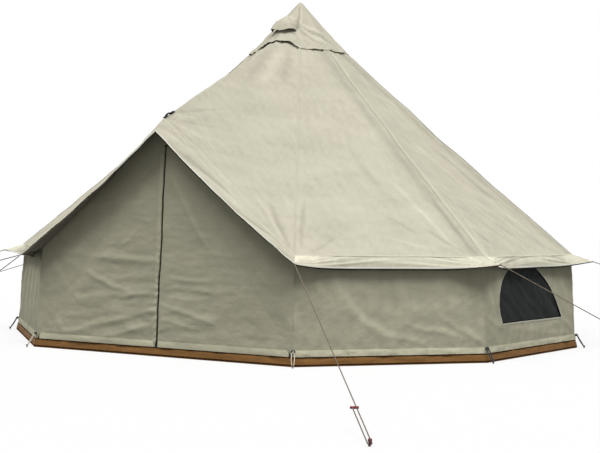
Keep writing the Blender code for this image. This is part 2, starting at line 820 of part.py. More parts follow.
# Vent hood: a scoop sewn on above the vent, open at its lip
HOOD_COLUMNS = 12
HOOD_ROWS = 6
hood_outer = []
hood_inner = []
for row in range(HOOD_ROWS + 1):
    down = row / HOOD_ROWS
    widening = math.sin(math.pi / 2.0 * min(1.0, 1.4 * down))
    half = HOOD_HALF_WIDTH * (HOOD_TOP_SHARE + (1.0 - HOOD_TOP_SHARE) * widening)
    spacing = half / HOOD_COLUMNS
    puff = HOOD_RISE * math.sin(math.pi * (0.04 + 0.91 * down)) ** 0.8
    outer_row = []
    inner_row = []
    for col in range(HOOD_COLUMNS + 1):
        across = 2.0 * col / HOOD_COLUMNS - 1.0
        x = half * across
        out = HOOD_TOP_OUT + (HOOD_LIP_OUT - HOOD_TOP_OUT) * down * (1.0 - HOOD_LIP_CURVE * across * across)
        seat = max(over_cap(x + dx, -out) for dx in (-spacing, 0.0, spacing))
        foot = over_cap(half, -out)
        crest = over_cap(0.0, -out)
        arch = foot + (crest - foot + puff) * math.sqrt(max(0.0, 1.0 - across * across))
        lift = max(0.0, arch - seat) if row else 0.0
        bow = across * abs(across)
        point = Vector((x, -out - 0.35 * lift, seat + GAP + lift))
        inner_row.append(point)
        outer_row.append(point + Vector((0.9 * bow, -0.3, 1.0 - 0.75 * abs(bow))) * CLOTH)
    hood_outer.append(outer_row)
    hood_inner.append(inner_row)
vent_hood = finish(loft("vent_hood", hood_outer, hood_inner), ROOF_CANVAS, 0.9)

# Centre pole: a rubber foot, two tubes and a finial that carries the roof and the cap
foot_low = CLOTH + GAP
pole_foot = turned("pole_foot", [
    (0.0, foot_low + POLE_FOOT_HEIGHT),
    (POLE_RADIUS + 0.003, foot_low + POLE_FOOT_HEIGHT),
    (POLE_RADIUS + 0.006, foot_low + POLE_FOOT_HEIGHT - 0.010),
    (POLE_FOOT_RADIUS - 0.003, foot_low + 0.008),
    (POLE_FOOT_RADIUS, foot_low + 0.004),
    (POLE_FOOT_RADIUS, foot_low),
    (0.0, foot_low),
])
finish(pole_foot, BLACK_PLASTIC, 0.8)
pole_low = foot_low + POLE_FOOT_HEIGHT + GAP
bore = POLE_RADIUS - POLE_WALL
pole_lower = turned("pole_lower", [
    (bore - 2.0 * GAP, POLE_JOIN_HEIGHT + POLE_SPIGOT),
    (bore - GAP, POLE_JOIN_HEIGHT + POLE_SPIGOT - 0.004),
    (bore - GAP, POLE_JOIN_HEIGHT),
    (POLE_RADIUS, POLE_JOIN_HEIGHT - 0.002),
    (POLE_RADIUS, pole_low),
    (bore - POLE_WALL, pole_low),
    (bore - POLE_WALL, POLE_JOIN_HEIGHT + POLE_SPIGOT),
])
finish(pole_lower, STEEL, 0.35, 1.0)
under_crown = CROWN_HEIGHT - ROOF_DROP
collar_radius = CROWN_RADIUS * 1.06
collar_top = under_crown - ROOF_SLOPE * 1.08 * (collar_radius / math.cos(DOOR_HALF) - CROWN_RADIUS) - RUNNING_GAP
pole_top = collar_top - 0.045
pole_upper = turned("pole_upper", [
    (bore, pole_top),
    (POLE_RADIUS, pole_top),
    (POLE_RADIUS, POLE_JOIN_HEIGHT + GAP),
    (bore, POLE_JOIN_HEIGHT + GAP),
])
finish(pole_upper, STEEL, 0.35, 1.0)
cap_under = CAP_TOP_HEIGHT - CLOTH * 1.4
finial = turned("pole_finial", [
    (0.0, cap_under - GAP),
    (CAP_TOP_RADIUS - 0.006, cap_under - GAP),
    (CAP_TOP_RADIUS - 0.004, cap_under - 0.004),
    (CAP_TOP_RADIUS - 0.003, collar_top + 0.030),
    (CAP_TOP_RADIUS + 0.010, collar_top + 0.012),
    (collar_radius * 0.88, collar_top + 0.004),
    (collar_radius, collar_top),
    (collar_radius, collar_top - 0.006),
    (collar_radius * 0.7, collar_top - 0.020),
    (POLE_RADIUS + 0.005, collar_top - 0.030),
    (POLE_RADIUS + 0.005, pole_top + GAP),
    (bore - GAP, pole_top + GAP),
    (bore - GAP, pole_top - 0.050),
    (0.0, pole_top - 0.050),
])
finish(finial, BLACK_PLASTIC, 0.5)

# A-frame behind the door: an elbow under the peak and two legs to the floor
LEG_INSET = CLOTH + RUNNING_GAP + ELBOW_RADIUS


def leg_point(x, height, side):
    return Vector((side * x, -door_face(height) + LEG_INSET, height))


leg_foot_x = FOLD_FOOT_X - 0.060
leg_foot_height = CLOTH + GAP + LEG_FOOT_HEIGHT / 2.0
elbow_top = PEAK_HEIGHT - ELBOW_TRIAL_DROP


def elbow_side(top, side):
    """From the round apex down one arm, which points straight at the foot of its leg."""
    foot = leg_point(leg_foot_x, leg_foot_height, side)
    crown = leg_point(ELBOW_BEND * 0.5, top - ELBOW_BEND * 0.15, side)
    shoulder = leg_point(ELBOW_BEND, top - ELBOW_BEND * 0.6, side)
    mouth = shoulder + (foot - shoulder).normalized() * ELBOW_ARM
    return [crown, shoulder, mouth]


def elbow_points(top):
    """An inverted V with a round apex."""
    return elbow_side(top, -1)[::-1] + [leg_point(0.0, top, 1)] + elbow_side(top, 1)


elbow = tube("a_frame_elbow", elbow_points(elbow_top), ELBOW_RADIUS, sides=3)
room = []
for vertex in elbow.data.vertices:
    hit = PORCH_SURFACE.ray_cast(vertex.co, Vector((0.0, 0.0, 1.0)))
    if hit[0] is not None:
        room.append(hit[0].z - vertex.co.z)
lift = min(room) - RUNNING_GAP
bpy.data.objects.remove(elbow, do_unlink=True)
elbow_top += lift * 0.97
elbow = tube("a_frame_elbow", elbow_points(elbow_top), ELBOW_RADIUS, sides=3)
finish(elbow, STEEL, 0.35, 1.0)


def leg(name, side):
    top = elbow_side(elbow_top, side)[-1]
    foot = leg_point(leg_foot_x, leg_foot_height, side)
    along = (top - foot).normalized()
    shaft = tube(name, [foot, top - along * GAP], LEG_RADIUS, sides=3)
    shoe = cylinder(name + "_shoe", LEG_FOOT_RADIUS, CLOTH + GAP, CLOTH + GAP + LEG_FOOT_HEIGHT,
                    Matrix.Translation((foot.x, foot.y, 0.0)))
    combine(shaft, [shoe], "UNION")
    floor_cut = block(name + "_floor", (0.4, 0.4, 0.1), (foot.x, foot.y, CLOTH + GAP - 0.05))
    combine(shaft, [floor_cut], "DIFFERENCE")
    return finish(shaft, STEEL, 0.35, 1.0)


leg_right = leg("a_frame_leg_right", 1)
leg_left = leg("a_frame_leg_left", -1)

# Webbing loop on the porch ridge
loop_back = PEAK_RADIUS - 0.035 - LOOP_SPAN
loop_lift = LOOP_RADIUS * 0.75 + GAP
loop_points = []
for step in range(9):
    turn = math.pi * step / 8
    out = loop_back + LOOP_SPAN * (1.0 - math.cos(turn)) / 2.0
    rise = LOOP_RISE * math.sin(turn) ** 0.6 if 0 < step < 8 else 0.0
    loop_points.append(Vector((0.0, -out, porch_ridge_height(out) + loop_lift + rise)))
peak_loop = finish(tube("peak_loop", loop_points, LOOP_RADIUS), BLACK_PLASTIC, 0.8)


# Guy ropes: each is made along its own X, from the corner tip down to its peg, with Z up
def rope_way(slope):
    return Vector((math.cos(slope), 0.0, -math.sin(slope)))


def guy_frame(index, run, splay_deg):
    """The place, compass heading, length and slope of a guy that starts at a corner's tip."""
    tip = ear_tip(index)
    away = 1.0 if index < CORNERS / 2 else -1.0
    turn = corner_angle(index) + away * math.radians(splay_deg)
    slope = math.atan2(tip.z - LOOP_HEIGHT, run)
    start = tip + heading(turn) * (2.0 * GAP)
    length = (tip.z - LOOP_HEIGHT) / math.sin(slope)
    return start, turn, length, slope


def aimed(thing, start, turn):
    """Puts a piece that was made along X at a place, facing a compass heading."""
    thing.location = start
    thing.rotation_euler = (0.0, 0.0, turn - math.pi / 2.0)
    return thing


def straight(start, end, count):
    """Spots along a straight stretch, without its end."""
    return [start.lerp(end, step / count) for step in range(count)]


def whole_rope(name, length, slope):
    """A rope that runs to its peg, round it, and back into the runner."""
    way = rope_way(slope)
    across = Vector((0.0, 1.0, 0.0))
    half = STRAND_SPACING / 2.0
    hub = way * length - across * half
    points = straight(Vector((0.0, 0.0, 0.0)), way * length, 22)
    for step in range(13):
        turn = math.pi * step / 12
        points.append(hub + across * (half * math.cos(turn)) + way * (half * math.sin(turn)))
    back = way * (length - RUNNER_FROM_PEG) - across * STRAND_SPACING
    points += straight(points[-1], back, 4)[1:]
    points.append(back)
    return tube(name, points, ROPE_RADIUS)


def guy_peg(name):
    """A ground peg that leans away from the tent, inside the bend of the rope. Cut off at the ground."""
    place = Matrix.Translation((0.0, 0.0, LOOP_HEIGHT))
    place = place @ Matrix.Rotation(math.radians(GUY_PEG_TILT_DEG), 4, "Y")
    radius = STRAND_SPACING / 2.0 - ROPE_RADIUS - RUNNING_GAP
    peg = cylinder(name, radius, -LOOP_HEIGHT * 3.0, GUY_PEG_TOP - GUY_PEG_CAP / 2.0, place, 12)
    head = cylinder("peg_head", GUY_PEG_HEAD, GUY_PEG_TOP - GUY_PEG_CAP, GUY_PEG_TOP, place, 12)
    reach = GUY_PEG_HEAD * 1.9
    size = (reach, GUY_PEG_HEAD * 0.7, GUY_PEG_CAP * 0.6)
    hook = block("peg_hook", size, (reach / 2.0, 0.0, GUY_PEG_TOP - GUY_PEG_CAP * 0.45), place)
    combine(peg, [head, hook], "UNION")
    ground = block("ground_cut", (0.5, 0.5, 0.2), (0.0, 0.0, -0.1))
    combine(peg, [ground], "DIFFERENCE")
    return peg


def runner_bar(name):
    """A slider bar with a hole for each strand; its X runs along the rope."""
    bar = block(name, (RUNNER_DEPTH, RUNNER_WIDTH, RUNNER_THICK), (0.0, -STRAND_SPACING / 2.0, 0.0))
    turn = Matrix.Rotation(math.pi / 2.0, 4, "Y")
    holes = []
    for y in (0.0, -STRAND_SPACING):
        aim = Matrix.Translation((0.0, y, 0.0)) @ turn
        holes.append(cylinder("rope_hole", ROPE_RADIUS + RUNNING_GAP, -0.05, 0.05, aim, 12))
    bevelled(bar, 0.0015, 1)
    combine(bar, holes, "DIFFERENCE")
    return bar


def stopper_knot(name):
    """A knot whose turns lie side by side round its own Z."""
    rings = KNOT_TURNS * 4
    profile = [(0.0, KNOT_LENGTH / 2.0)]
    for step in range(rings + 1):
        swell = abs(math.sin(math.pi * KNOT_TURNS * step / rings))
        radius = KNOT_RADIUS * (0.72 + 0.28 * swell)
        profile.append((radius, KNOT_LENGTH * (0.5 - step / rings)))
    profile.append((0.0, -KNOT_LENGTH / 2.0))
    return turned(name, profile, 12)


def part_rope(name, start, turn, slope, drawn):
    """A rope that is drawn for a part of its length and ends in a knot."""
    way = rope_way(slope)
    end = way * drawn
    count = max(8, min(40, math.ceil(drawn / (ROPE_RADIUS * 12.0))))
    points = straight(Vector((0.0, 0.0, 0.0)), end, count) + [end]
    rope = aimed(tube("guy_rope_" + name, points, ROPE_RADIUS), start, turn)
    finish(rope, ROPE_SAND, 0.9, smooth_deg=50.0)
    knot = stopper_knot("guy_knot_" + name)
    world_way = heading(turn) * math.cos(slope) - Vector((0.0, 0.0, math.sin(slope)))
    knot.location = start + world_way * (drawn + GAP + KNOT_LENGTH / 2.0)
    knot.rotation_euler = (0.0, math.pi / 2.0 + slope, turn - math.pi / 2.0)
    finish(knot, ROPE_SAND, 0.9, smooth_deg=50.0)


# The front right guy, whole, with its peg and its runner
start, turn, length, slope = guy_frame(0, FRONT_GUY_RUN, FRONT_GUY_SPLAY_DEG)
world_way = heading(turn) * math.cos(slope) - Vector((0.0, 0.0, math.sin(slope)))
rope = aimed(whole_rope("guy_rope_front_right", length, slope), start, turn)
finish(rope, ROPE_SAND, 0.9, smooth_deg=50.0)
side_way = heading(turn + math.pi / 2.0)
hub = start + world_way * length - side_way * (STRAND_SPACING / 2.0)
hub.z = 0.0
peg = aimed(guy_peg("guy_peg_front_right"), hub, turn)
finish(peg, PEG_RED, 0.5)
runner = runner_bar("guy_runner_front_right")
runner.location = start + world_way * (length - RUNNER_FROM_PEG)
runner.rotation_euler = (0.0, slope, turn - math.pi / 2.0)
finish(runner, RUNNER_RED, 0.5)

# The other guys: name, corner, distance of the peg, splay and drawn length
OTHER_GUYS = [
    ("right", 1, SIDE_GUY_RUN, 0.0, RIGHT_DRAWN),
    ("far_right", 2, SIDE_GUY_RUN, 0.0, FAR_RIGHT_DRAWN),
    ("back_left", CORNERS - 3, BACK_GUY_RUN, 0.0, BACK_LEFT_DRAWN),
    ("left", CORNERS - 2, SIDE_GUY_RUN, 0.0, LEFT_DRAWN),
    ("front_left", CORNERS - 1, FRONT_GUY_RUN, FRONT_GUY_SPLAY_DEG, FRONT_LEFT_DRAWN),
]
for name, index, run, splay_deg, drawn in OTHER_GUYS:
    start, turn, length, slope = guy_frame(index, run, splay_deg)
    part_rope(name, start, turn, slope, drawn)

# A second, steeper rope is tied under the front left one, just out from the tip
start, turn, length, slope = guy_frame(CORNERS - 1, FRONT_GUY_RUN, FRONT_GUY_SPLAY_DEG)
under = heading(turn) * math.sin(slope) + Vector((0.0, 0.0, math.cos(slope)))
start += heading(turn) * (LOW_GUY_OUT * math.cos(slope)) - Vector((0.0, 0.0, LOW_GUY_OUT * math.sin(slope)))
start -= under * (2.0 * ROPE_RADIUS + GAP)
low_slope = math.atan2(start.z - LOOP_HEIGHT, LOW_GUY_RUN)
part_rope("front_left_low", start, turn, low_slope, LOW_LEFT_DRAWN)


# Base pegs: a toggle at the hem, a rubber band down over the tub, and a peg in the ground
def base_peg_mesh(name):
    """Its X points away from the tent and its origin lies under the corner of the tub."""
    seat = wall_radius(TOGGLE_HEIGHT) - FLOOR_RADIUS
    toggle_x = seat + TOGGLE_RADIUS + GAP
    high = Vector((toggle_x, 0.0, TOGGLE_HEIGHT))
    low = Vector((BASE_PEG_OUT, 0.0, BASE_PEG_HEIGHT * 0.45))
    strands = []
    for side in (-1.0, 1.0):
        points = []
        for share in (0.0, 0.12, 0.35, 0.65, 0.88, 1.0):
            bow = BAND_SPREAD * math.sin(math.pi * share) + BASE_PEG_RADIUS * 0.6
            points.append(high.lerp(low, share) + Vector((0.0, side * bow, 0.0)))
        strands.append(tube(name, points, BAND_RADIUS))
    band = strands[0]
    turn = Matrix.Translation((toggle_x, 0.0, TOGGLE_HEIGHT)) @ Matrix.Rotation(math.pi / 2.0, 4, "X")
    toggle = cylinder("toggle", TOGGLE_RADIUS, -TOGGLE_LENGTH / 2.0, TOGGLE_LENGTH / 2.0, turn, 10)
    stand = Matrix.Translation((BASE_PEG_OUT, 0.0, 0.0))
    shaft = cylinder("base_shaft", BASE_PEG_RADIUS, 0.0, BASE_PEG_HEIGHT - 0.002, stand, 10)
    head = cylinder("base_head", BASE_PEG_RADIUS * 2.2, BASE_PEG_HEIGHT - 0.006, BASE_PEG_HEIGHT, stand, 10)
    combine(band, [strands[1], toggle, shaft, head], "UNION")
    mesh = band.data
    bpy.data.objects.remove(band, do_unlink=True)
    return mesh


peg_mesh = base_peg_mesh("base_peg")
peg_mesh.materials.append(material("base_peg", BAND_CREAM, 0.7))
for index in range(CORNERS):
    peg = add_mesh("base_peg_%02d" % (index + 1), peg_mesh, corner(index) * FLOOR_RADIUS)
    peg.rotation_euler = (0.0, 0.0, corner_angle(index) - math.pi / 2.0)

bpy.context.view_layer.update()
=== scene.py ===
# Looks of the canvas bell tent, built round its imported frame. Metres, +Z up, the door faces -Y.
import math

import bmesh
import bpy
import numpy as np
from mathutils import Matrix, Vector
from mathutils.bvhtree import BVHTree


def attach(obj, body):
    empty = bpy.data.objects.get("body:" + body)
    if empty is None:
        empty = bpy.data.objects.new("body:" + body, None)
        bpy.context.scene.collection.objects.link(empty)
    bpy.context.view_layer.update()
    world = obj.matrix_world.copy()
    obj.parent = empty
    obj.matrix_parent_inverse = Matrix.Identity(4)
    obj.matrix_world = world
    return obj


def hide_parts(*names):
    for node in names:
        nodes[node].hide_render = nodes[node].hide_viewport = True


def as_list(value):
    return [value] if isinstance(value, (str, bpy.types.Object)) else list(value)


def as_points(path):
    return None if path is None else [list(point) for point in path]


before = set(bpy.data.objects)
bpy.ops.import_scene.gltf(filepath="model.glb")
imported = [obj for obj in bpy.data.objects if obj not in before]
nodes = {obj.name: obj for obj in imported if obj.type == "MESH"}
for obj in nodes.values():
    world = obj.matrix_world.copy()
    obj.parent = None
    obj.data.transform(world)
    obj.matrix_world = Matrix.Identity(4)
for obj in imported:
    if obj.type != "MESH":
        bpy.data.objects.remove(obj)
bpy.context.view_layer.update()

# Sizes of the solids
CORNERS = 10
DOOR_HALF = math.radians(53.5) / 2.0
SIDE_STEP = (2.0 * math.pi - 2.0 * DOOR_HALF) / (CORNERS - 1)
SIDE_HALF = SIDE_STEP / 2.0
FLOOR_RADIUS = 2.500
WALL_FOOT_RADIUS = 2.482
WALL_HEAD_RADIUS = 2.4375
EAVE_RADIUS = 2.452
TIP_RADIUS = 2.609
CROWN_RADIUS = 0.090
TUB_HEIGHT = 0.066
EAVE_HEIGHT = 0.762
TIP_HEIGHT = 0.713
PEAK_HEIGHT = 1.740
PEAK_TIP_HEIGHT = 1.640
ZIP_TOP_HEIGHT = 1.550
CLOTH = 0.004
ROOF_SLOPE = 0.832
ROOF_CURVE = 0.0168
PANEL_SAG = 0.022
VALANCE_DEPTH = 0.085
VALANCE_FLARE = 0.014
EAR_REACH = 0.170
PEAK_RADIUS = 2.166
PEAK_TIP_RADIUS = 2.273
PEAK_RIDGE_SLOPE = 0.475
PORCH_SAG = 0.030
CAP_RADIUS = 0.4525
CAP_STAND = 0.159
CAP_TOP_RADIUS = 0.014
CAP_PORCH_LIFT = 0.012
CAP_CREST = 1.25
CAP_DRAWN = 0.042
ROPE_RADIUS = 0.0030
LOOP_HEIGHT = 0.014
CAP_VENT_OUT = 0.215
VENT_RADIUS = 0.050
HOOD_HALF_WIDTH = 0.108
HOOD_TOP_OUT = 0.165
HOOD_LIP_OUT = 0.362
HOOD_PUFF = 0.046
HOOD_CREST = 0.62
HOOD_TOP_SHARE = 0.60
HOOD_LIP_CURVE = 0.38
TOGGLE_RADIUS = 0.011
TOGGLE_LENGTH = 0.034
TOGGLE_HEIGHT = 0.106
BAND_RADIUS = 0.0028
BAND_SPREAD = 0.007
BASE_PEG_OUT = 0.055
STRAND_SPACING = 0.020
RUNNER_FROM_PEG = 0.380
FRONT_GUY_RUN = 2.622
KNOT_LENGTH = 0.019
KNOT_RADIUS = 0.0078

# Gaps between things, and how thick the cloths are
GAP = 0.0003
RUNNING_GAP = 0.0005
SKIN = 0.0015
NET_SKIN = 0.0008
TAPE_SKIN = 0.0012

# A whole turn, and directions
TURN = 2.0 * math.pi
UP = np.array([0.0, 0.0, 1.0])
LEVEL = np.array([1.0, 1.0, 0.0])
RIGHT = np.array([1.0, 0.0, 0.0])
FRONT = np.array([0.0, -1.0, 0.0])


def placed(name, data):
    thing = bpy.data.objects.new(name, data)
    bpy.context.scene.collection.objects.link(thing)
    return thing


def add_node(tree, kind, inputs=(), **values):
    """A shader node with its settings. An input is a plain value or the output that feeds it."""
    node = tree.nodes.new(kind)
    for key, value in values.items():
        setattr(node, key, value)
    for key, value in dict(inputs).items():
        if isinstance(value, bpy.types.NodeSocket):
            tree.links.new(value, node.inputs[key])
        else:
            node.inputs[key].default_value = value
    return node


# Camera
CAMERA_TURN = math.radians(27.0724)
CAMERA_DISTANCE = 10.143
CAMERA_HEIGHT = 0.967
FOCAL_PIXELS = 1121.698
PICTURE_WIDTH = 600.0
YAW = 2.70016e-3
PITCH = -7.3158e-4
ROLL = 1.54206e-2


def add_camera():
    """The view of the photograph: far off, a little under a metre up, in line with one corner."""
    side = Vector((math.cos(YAW), -math.sin(YAW), 0.0))
    level = math.cos(PITCH)
    forward = Vector((level * math.sin(YAW), level * math.cos(YAW), math.sin(PITCH)))
    up = side.cross(forward)
    right = side * math.cos(ROLL) + up * math.sin(ROLL)
    top = up * math.cos(ROLL) - side * math.sin(ROLL)
    turn = Matrix((right, top, -forward)).transposed().to_4x4()
    place = Matrix.Translation((0.0, -CAMERA_DISTANCE, CAMERA_HEIGHT)) @ turn
    data = bpy.data.cameras.new("camera")
    data.sensor_width = 36.0
    data.lens = FOCAL_PIXELS * data.sensor_width / PICTURE_WIDTH
    data.clip_end = 400.0
    camera = placed("camera", data)
    camera.matrix_world = Matrix.Rotation(CAMERA_TURN, 4, "Z") @ place
    bpy.context.scene.camera = camera


add_camera()


# Shaders
WAVE_SCALE = 0.16


class Shade:
    """A procedural material, built node by node."""

    def __init__(self, name, roughness=0.8, **constants):
        self.made = bpy.data.materials.new(name)
        self.made.use_nodes = True
        self.tree = self.made.node_tree
        self.shader = self.tree.nodes["Principled BSDF"]
        self.shader.inputs["Roughness"].default_value = roughness
        for key, value in constants.items():
            self.shader.inputs[key.replace("_", " ")].default_value = value
        self.spots = self.add("ShaderNodeTexCoord")

    def add(self, kind, inputs=(), **values):
        return add_node(self.tree, kind, inputs, **values)

    def scaled(self, source, scale):
        """Coordinates from the object in metres or from the cloth's own length and width."""
        inputs = {"Vector": self.spots.outputs[source], "Scale": scale}
        return self.add("ShaderNodeMapping", inputs).outputs[0]

    def noise(self, source, scale, detail=2.0, roughness=0.5):
        vector = self.scaled(source, scale if hasattr(scale, "__len__") else (scale, scale, scale))
        inputs = {"Vector": vector, "Scale": 1.0, "Detail": detail, "Roughness": roughness}
        return self.add("ShaderNodeTexNoise", inputs).outputs[0]

    def wave(self, pitch, direction="X"):
        """Threads across the cloth, as many metres apart as the pitch says in each direction."""
        scale = tuple(WAVE_SCALE / size if size else 0.0 for size in (*pitch, 0.0))
        inputs = {"Vector": self.scaled("UV", scale), "Scale": 1.0}
        return self.add("ShaderNodeTexWave", inputs, bands_direction=direction).outputs[1]

    def maths(self, operation, first, second=0.0):
        return self.add("ShaderNodeMath", {0: first, 1: second}, operation=operation).outputs[0]

    def span(self, value, low, high, out_low=0.0, out_high=1.0):
        inputs = {0: value, 1: low, 2: high, 3: out_low, 4: out_high}
        return self.add("ShaderNodeMapRange", inputs).outputs[0]

    def mix(self, amount, first, second):
        node = self.add("ShaderNodeMix", {0: amount}, data_type="RGBA")
        for socket, value in ((node.inputs[6], first), (node.inputs[7], second)):
            if isinstance(value, bpy.types.NodeSocket):
                self.tree.links.new(value, socket)
            else:
                socket.default_value = (*value, 1.0)
        return node.outputs[2]

    def colour(self, socket):
        self.tree.links.new(socket, self.shader.inputs["Base Color"])

    def bump(self, height, strength, distance, under=None):
        inputs = {"Height": height, "Strength": strength, "Distance": distance}
        if under is not None:
            inputs["Normal"] = under
        return self.add("ShaderNodeBump", inputs).outputs[0]

    def normal(self, socket):
        self.tree.links.new(socket, self.shader.inputs["Normal"])

    def rough(self, socket):
        self.tree.links.new(socket, self.shader.inputs["Roughness"])


def tinted(colour, factor):
    return tuple(min(1.0, part * factor) for part in colour)


def canvas(name, colour, contrast=0.05, weave=0.0012, roughness=0.95, creases=1.0, stitches=False,
           specular=0.12, sheen=0.04):
    """Woven cotton: threads both ways, slubs, slight fading in patches, and soft creases."""
    shade = Shade(name, roughness, Sheen_Weight=sheen, Sheen_Roughness=0.5, Specular_IOR_Level=specular)
    patches = shade.noise("Object", 1.3, 3.0)
    blotches = shade.noise("Object", 9.0, 4.0, 0.6)
    tone = shade.maths("ADD", shade.maths("MULTIPLY", patches, 0.6), shade.maths("MULTIPLY", blotches, 0.4))
    tone = shade.span(tone, 0.3, 0.7)
    base = shade.mix(tone, tinted(colour, 1.0 - contrast), tinted(colour, 1.0 + contrast))
    warm = shade.noise("Object", (0.8, 0.8, 0.5), 2.0)
    cool = tuple(part * shift for part, shift in zip(colour, (0.965, 1.0, 0.985)))
    base = shade.mix(shade.span(warm, 0.42, 0.62, 0.0, 0.6), base, cool)

    def over(amount, limits, factor):
        return shade.mix(shade.span(amount, *limits), base, tinted(colour, factor))

    slub = shade.noise("UV", (30.0, 700.0, 1.0), 2.0)
    slub_two = shade.noise("UV", (700.0, 30.0, 1.0), 2.0)
    threads = shade.maths("MULTIPLY", slub, slub_two)
    base = over(threads, (0.16, 0.36, 0.0, 0.30), 0.72)
    grain = shade.noise("Object", 150.0, 3.0, 0.6)
    base = over(grain, (0.35, 0.65, 0.0, 0.22), 0.80)
    warp = shade.wave((weave, 0.0))
    weft = shade.wave((0.0, weave), "Y")
    cross = shade.maths("MULTIPLY", warp, weft)
    base = over(cross, (0.0, 0.9, 0.16, 0.0), 0.6)
    if stitches:
        dash = shade.wave((0.0, 0.0035), "Y")
        edge = shade.wave((0.010, 0.0))
        line = shade.maths("MULTIPLY", shade.span(edge, 0.86, 0.97), shade.span(dash, 0.35, 0.6))
        base = shade.mix(shade.maths("MULTIPLY", line, 0.5), base, tinted(colour, 0.5))
    # The fold attribute paints light: over 0 a painted highlight on the ridges of folds, under 0 painted
    # shade in their valleys.
    fold = shade.add("ShaderNodeAttribute", attribute_name="fold").outputs[2]
    base = over(fold, (0.0, 1.0), 1.16)
    base = over(fold, (-1.0, 0.0, 1.0, 0.0), 0.62)
    shade.colour(base)
    soft = shade.noise("Object", 9.0, 4.0, 0.55)
    small = shade.noise("Object", 34.0, 3.0, 0.6)
    normal = shade.bump(soft, 0.5 * creases, 0.012)
    normal = shade.bump(small, 0.5 * creases, 0.0032, normal)
    normal = shade.bump(cross, 0.25, 0.0003, normal)
    shade.normal(shade.bump(threads, 0.4, 0.0003, normal))
    return shade.made


def plain_surface(name, colour, roughness, grain, depth, contrast=0.12, wear=None, **constants):
    """Moulded, painted or plated: fine grain, small changes of tone, and wear that follows the noise."""
    shade = Shade(name, roughness, **constants)
    spread = shade.noise("Object", grain * 0.12, 4.0, 0.6)
    fine = shade.noise("Object", grain, 3.0, 0.6)
    tone = shade.span(spread, 0.3, 0.7)
    base = shade.mix(tone, tinted(colour, 1.0 - contrast), tinted(colour, 1.0 + contrast))
    if wear:
        worn = shade.span(shade.maths("MULTIPLY", spread, fine), 0.30, 0.40)
        base = shade.mix(worn, base, wear)
    shade.colour(base)
    shade.rough(shade.span(fine, 0.25, 0.75, max(0.05, roughness - 0.10), min(1.0, roughness + 0.12)))
    shade.normal(shade.bump(fine, 0.35, depth))
    return shade.made


def netting(name, colour, pitch):
    """Fine netting: threads both ways with darker holes between them, and a little dust."""
    shade = Shade(name, 0.85, Specular_IOR_Level=0.1)
    warp = shade.wave((pitch, 0.0))
    weft = shade.wave((0.0, pitch), "Y")
    threads = shade.maths("MAXIMUM", warp, weft)
    dust = shade.noise("Object", 5.0, 4.0, 0.6)
    base = shade.mix(shade.span(threads, 0.45, 0.95), tinted(colour, 0.45), tinted(colour, 1.25))
    base = shade.mix(shade.span(dust, 0.45, 0.75, 0.0, 0.2), base, tinted(colour, 1.6))
    shade.colour(base)
    shade.normal(shade.bump(threads, 0.5, 0.0004))
    return shade.made


def twisted(name, colour):
    """Rope yarn: fibres along the twist, and painted shade in the hollow between strands."""
    shade = Shade(name, 0.9, Sheen_Weight=0.05, Sheen_Roughness=0.5, Specular_IOR_Level=0.15)
    fibres = shade.wave((1.0 / 1400.0, 1.0 / 500.0), "DIAGONAL")
    tone_shift = shade.noise("Object", 30.0, 3.0)
    base = shade.mix(shade.span(tone_shift, 0.3, 0.7), tinted(colour, 0.82), tinted(colour, 1.15))
    # Painted shade where the fibres' wave is low, in the hollow between strands.
    base = shade.mix(shade.span(fibres, 0.0, 1.0, 0.25, 0.0), base, tinted(colour, 0.5))
    shade.colour(base)
    shade.normal(shade.bump(fibres, 0.5, 0.0004))
    return shade.made


ROOF_COLOUR = (0.604, 0.572, 0.452)
WALL_COLOUR = (0.480, 0.458, 0.336)
FLOOR_COLOUR = (0.238, 0.115, 0.033)

roof_canvas = canvas("roof_canvas", ROOF_COLOUR)
# A lighter copy of the roof cloth for the straight valances: painted light.
valance_painted_light = canvas("valance_painted_light", tinted(ROOF_COLOUR, 1.40))
# A darker copy of the roof cloth for the inner faces of the roof and hood: painted shade.
roof_inside_shade = canvas("roof_inside_shade", tinted(ROOF_COLOUR, 0.34))
roof_seam_canvas = canvas("roof_seam_canvas", tinted(ROOF_COLOUR, 1.03), stitches=True)
valance_welt = canvas("valance_welt", tinted(ROOF_COLOUR, 1.20), stitches=True)
binding_tape = canvas("binding_tape", (0.86, 0.84, 0.76), stitches=True)
wall_canvas = canvas("wall_canvas", WALL_COLOUR, contrast=0.07, creases=1.3)
wall_hem_canvas = canvas("wall_hem_canvas", tinted(WALL_COLOUR, 1.50), contrast=0.08, creases=1.3,
                         stitches=True)
window_tape = canvas("window_tape", (0.56, 0.54, 0.44), stitches=True)
tub_cloth = canvas("tub_cloth", FLOOR_COLOUR, contrast=0.38, weave=0.0016, roughness=0.75, creases=1.3,
                   specular=0.2)
tub_edge_dark = canvas("tub_edge_dark", (0.034, 0.015, 0.005), contrast=0.2, specular=0.05, sheen=0.0)
net_cloth = netting("insect_net", (0.030, 0.033, 0.033), 0.0022)
zip_tape = canvas("zip_tape", (0.021, 0.016, 0.006), contrast=0.2, specular=0.04, sheen=0.0)
zip_teeth = plain_surface("zip_teeth", (0.024, 0.020, 0.010), 0.6, 900.0, 0.0002, Specular_IOR_Level=0.2)
rope_yarn = twisted("rope_yarn", (0.215, 0.170, 0.130))
